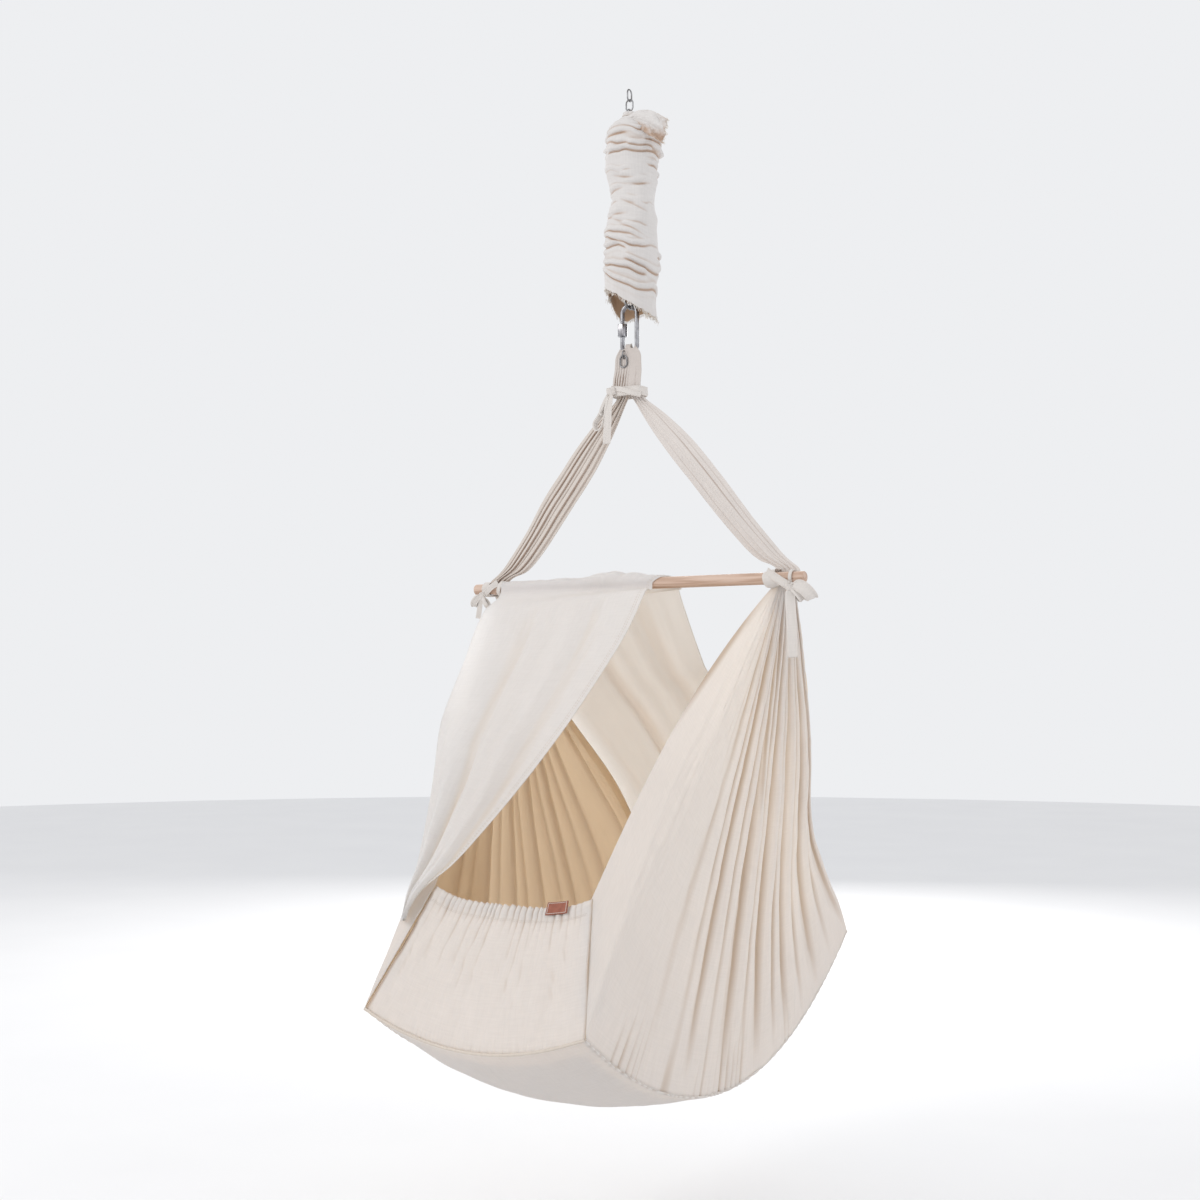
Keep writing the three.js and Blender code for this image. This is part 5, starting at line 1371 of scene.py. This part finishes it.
def add_bar_tie(word, side, bands, centre, knot_size, cross, bow, second, tail):
    reach = BAR_RADIUS + 2.0
    back = GATHER_Y + 7 + 0.5 + 1.8
    angle = circle(72)
    stretch = np.where(np.cos(angle) > 0, back - reach, 0.0)
    depth = reach * np.cos(angle) + stretch * smooth(np.cos(angle) * 2)
    pieces = [swept("tie_band", points(side * x + tilt * np.sin(angle), depth, BAR + reach * np.sin(angle)),
                    flat_section(width, 1.9, 28, 0.5), "ties", (1, 0, 0), True) for x, width, tilt in bands]
    pieces.append(ribbon("tie_cross", *cross, 1.5, UP))
    for (places, width, aim), count, waves in ((bow, 70, 1.0), (second, 60, 0.8)):
        pieces.append(ribbon("tie_bow", places, width, 1.2, aim, count, True, waves, BOW_PINCH))
    pieces.append(knot("tie_knot", centre, knot_size))
    rear = through([(side * x, back + rise, BAR + lift)
                    for x, rise, lift in ((241, 0.4, 0), (258, 1.4, 1), (276, 0.4, 0))], 24)
    pieces.append(swept("tie_rear", rear, flat_section(11, 1.6, 24, 0.5), "ties", UP))
    dress(joined(f"bar_tie_cloth_{word}", pieces), "cradle", "tie_cotton", f"bar_tie_{word}")
    x, y, z = centre
    hang, width = tail
    path = [(x + side * out, y - front, z - share * hang)
            for out, front, share in ((1, 1.5, 0), (2, 2.5, 0.2), (3.5, 2, 0.55), (5.5, 3.5, 1))]
    end = ribbon(f"bar_tie_tail_{word}", path, width, 1.2, (1, 0.12, 0), narrow=[(0.0, 0.5, 0.12)])
    dress(end, "cradle", "tie_cotton")
    width * MM * 1.03
    hang * MM * 1.05


def add_apex_tie():
    angle = circle(90)
    ring = points(*(np.sign(part) * np.abs(part) ** 0.6 * size / 2
                    for part, size in ((np.cos(angle), 54), (np.sin(angle), 33))), APEX)
    pieces = [
        swept("apex_band", ring, flat_section(14, 2.2, 28, 0.5), "ties", UP, True),
        ribbon("apex_cross", [(-24, -16, APEX + 6), (-6, -18.6, APEX + 3), (12, -18.4, APEX - 3),
                              (27, -11, APEX - 7)], 9, 1.6, UP),
        knot("apex_knot", (-22, -19.5, APEX + 1), 7.5),
        ribbon("apex_bow", [(-24, -21, APEX - 4), (-32, -24, -500), (-40, -26, -514), (-47, -26, -524),
                            (-43, -27, -534), (-35, -26, -528), (-30, -24, -508)], 9, 1.3, (0.5, 1, 0), 70, True),
        ribbon("apex_end", [(-24, -21, APEX - 3), (-31, -24, -492), (-36, -26, -506), (-33, -27, -512)],
               7, 1.2, (0.6, 1, 0))]
    dress(joined("apex_tie_cloth", pieces), "cradle", "tie_cotton", "apex_tie")
    fall = [(-22, -22, APEX - 2), (-22.5, -24.5, -488), (-23.5, -26.5, -505), (-23, -28.5, -530), (-23.5, -30, -557)]
    tail = ribbon("apex_tail", fall, 15, 1.3, (1, 0, 0), waves=0.5, narrow=[(0.0, 0.55, 0.14)])
    dress(tail, "cradle", "tie_cotton")


# Label, piping, snaps and stitching
LABEL_WIDTH, LABEL_HEIGHT = 38, 20
TAPE_START, TAPE_END = 0.06, 0.86
SNAPS = 4
SEAM_PLACES = np.linspace(0, 1, 200)


def beside(values, gap):
    """Three close rows round a value, for a surface's outward direction at the middle one."""
    return np.array([[values - gap], [values], [values + gap]])


def add_trim():
    """The label and the piping; the label's places are given back for its stitches."""
    u, v = shares(24, 40)
    label_grid = outward(flap_place(mix(0.756, 0.889, u), mix(0.94, 1.029, v), False), 4.6)
    edge = np.minimum(np.minimum(u, 1 - u) * LABEL_WIDTH, np.minimum(v, 1 - v) * LABEL_HEIGHT)
    label = cloth("leather_label_patch", label_grid, 1.4, "label", shade_inner_face=False,
                  mark=0.5 * bump(edge, 0.0, 0.7))
    dress(label, "flap", "label_leather", "leather_label")
    seam = flap_place(SEAM_PLACES, 0 * SEAM_PLACES) - (0, 3.1, 0)
    piping = swept("flap_seam_piping", seam, round_section(2.0, 16), "piping", (0, 1, 0))
    dress(piping, None, "piping_tan", "flap_piping")
    fold_with_flap(piping)
    return label_grid


def add_stitching(label_grid, veil):
    def sewn(surface, distance, step):
        return stitches(outward(surface, distance)[1], step)

    along = mix(0.02, 0.98, SEAM_PLACES)
    flap_rows = [sewn(flap_place(*np.broadcast_arrays(along, beside(level, 0.01))), 1.25, 3.4)
                 for level in (0.895, 0.905)]
    ring = np.array([(0.06, 0.1), (0.94, 0.1), (0.94, 0.9), (0.06, 0.9), (0.06, 0.1)])
    step = np.linspace(0, 4, 161)
    rows, columns = label_grid.shape[:2]
    up, across = (np.round(np.interp(step, range(5), ring[:, axis]) * (size - 1)).astype(int)
                  for axis, size in ((1, rows), (0, columns)))
    flap_rows.append(stitches(outward(label_grid, 0.95)[up, across], 2.4))
    cradle_rows = []
    for _, side, folds in SIDES:
        s, t = np.broadcast_arrays(beside(0.034, 0.004), np.linspace(0.04, 0.985, 400))
        cradle_rows.append(sewn(panel(side, s, t, folds), -1.2 * side, 4.2))
        s, t = np.broadcast_arrays(np.linspace(0.02, 0.98, 500), beside(0.983, 0.003))
        cradle_rows.append(sewn(panel(side, s, t, folds), 1.2 * side, 4.2))
    cradle_rows += [stitches(outward(veil, -0.75)[:, column], 4.6) for column in (4, 6)]
    for name, rows, body in (("flap_stitching", flap_rows, "flap"), ("sling_stitching", cradle_rows, "cradle")):
        places, aims = (np.vstack([sewn_row[part] for sewn_row in rows]) for part in (0, 1))
        dress(row(name, places, aims, "thread", 0.3, 2.6, 0.06, 0.85, 9), body, "sling_cotton")


def add_snap_tapes():
    for word, side in (("left", -1), ("right", 1)):
        for owner, inset, towards in (("panel", 1.5, -1), ("flap", 5.9, 1)):
            u, v = shares(80, 12)
            place = rim(FOOT_SHARE * mix(TAPE_START, TAPE_END, v))
            soft = 0.35 * noise(451, v * 12, u * 2)
            x, y, z = np.moveaxis(place, -1, 0)
            strip = points(side * (x - inset - 0.8 + soft), y + 2 + 14 * u, z)
            tape = cloth(f"{owner}_tape_{word}", strip, 1.2, "tape", shade_inner_face=False)
            dress(tape, None, "snap_tape", f"{owner}_snap_tape_{word}")
            spot = rim(FOOT_SHARE * mix(TAPE_START, TAPE_END, (np.arange(SNAPS) + 0.5) / SNAPS))
            spots = points(side * (spot[:, 0] - inset - 0.8 + towards), spot[:, 1] + 9, spot[:, 2])
            aims = np.tile((float(side), 0.0, 0.0), (SNAPS, 1))
            caps = row(f"{owner}_snaps_{word}", spots, aims, "snap", 5.0, 1.2)
            for piece in (tape, caps):
                if owner == "flap":
                    fold_with_flap(piece)
                else:
                    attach(piece, "cradle")


add_camera()
add_stage()
add_panels()
veil_places = add_veil()
add_ends()
add_base()
add_mattress()
add_metal()
add_sleeve()
add_straps()
add_loop()
add_bar()
add_apex_tie()
label_places = add_trim()
add_snap_tapes()
add_stitching(label_places, veil_places)
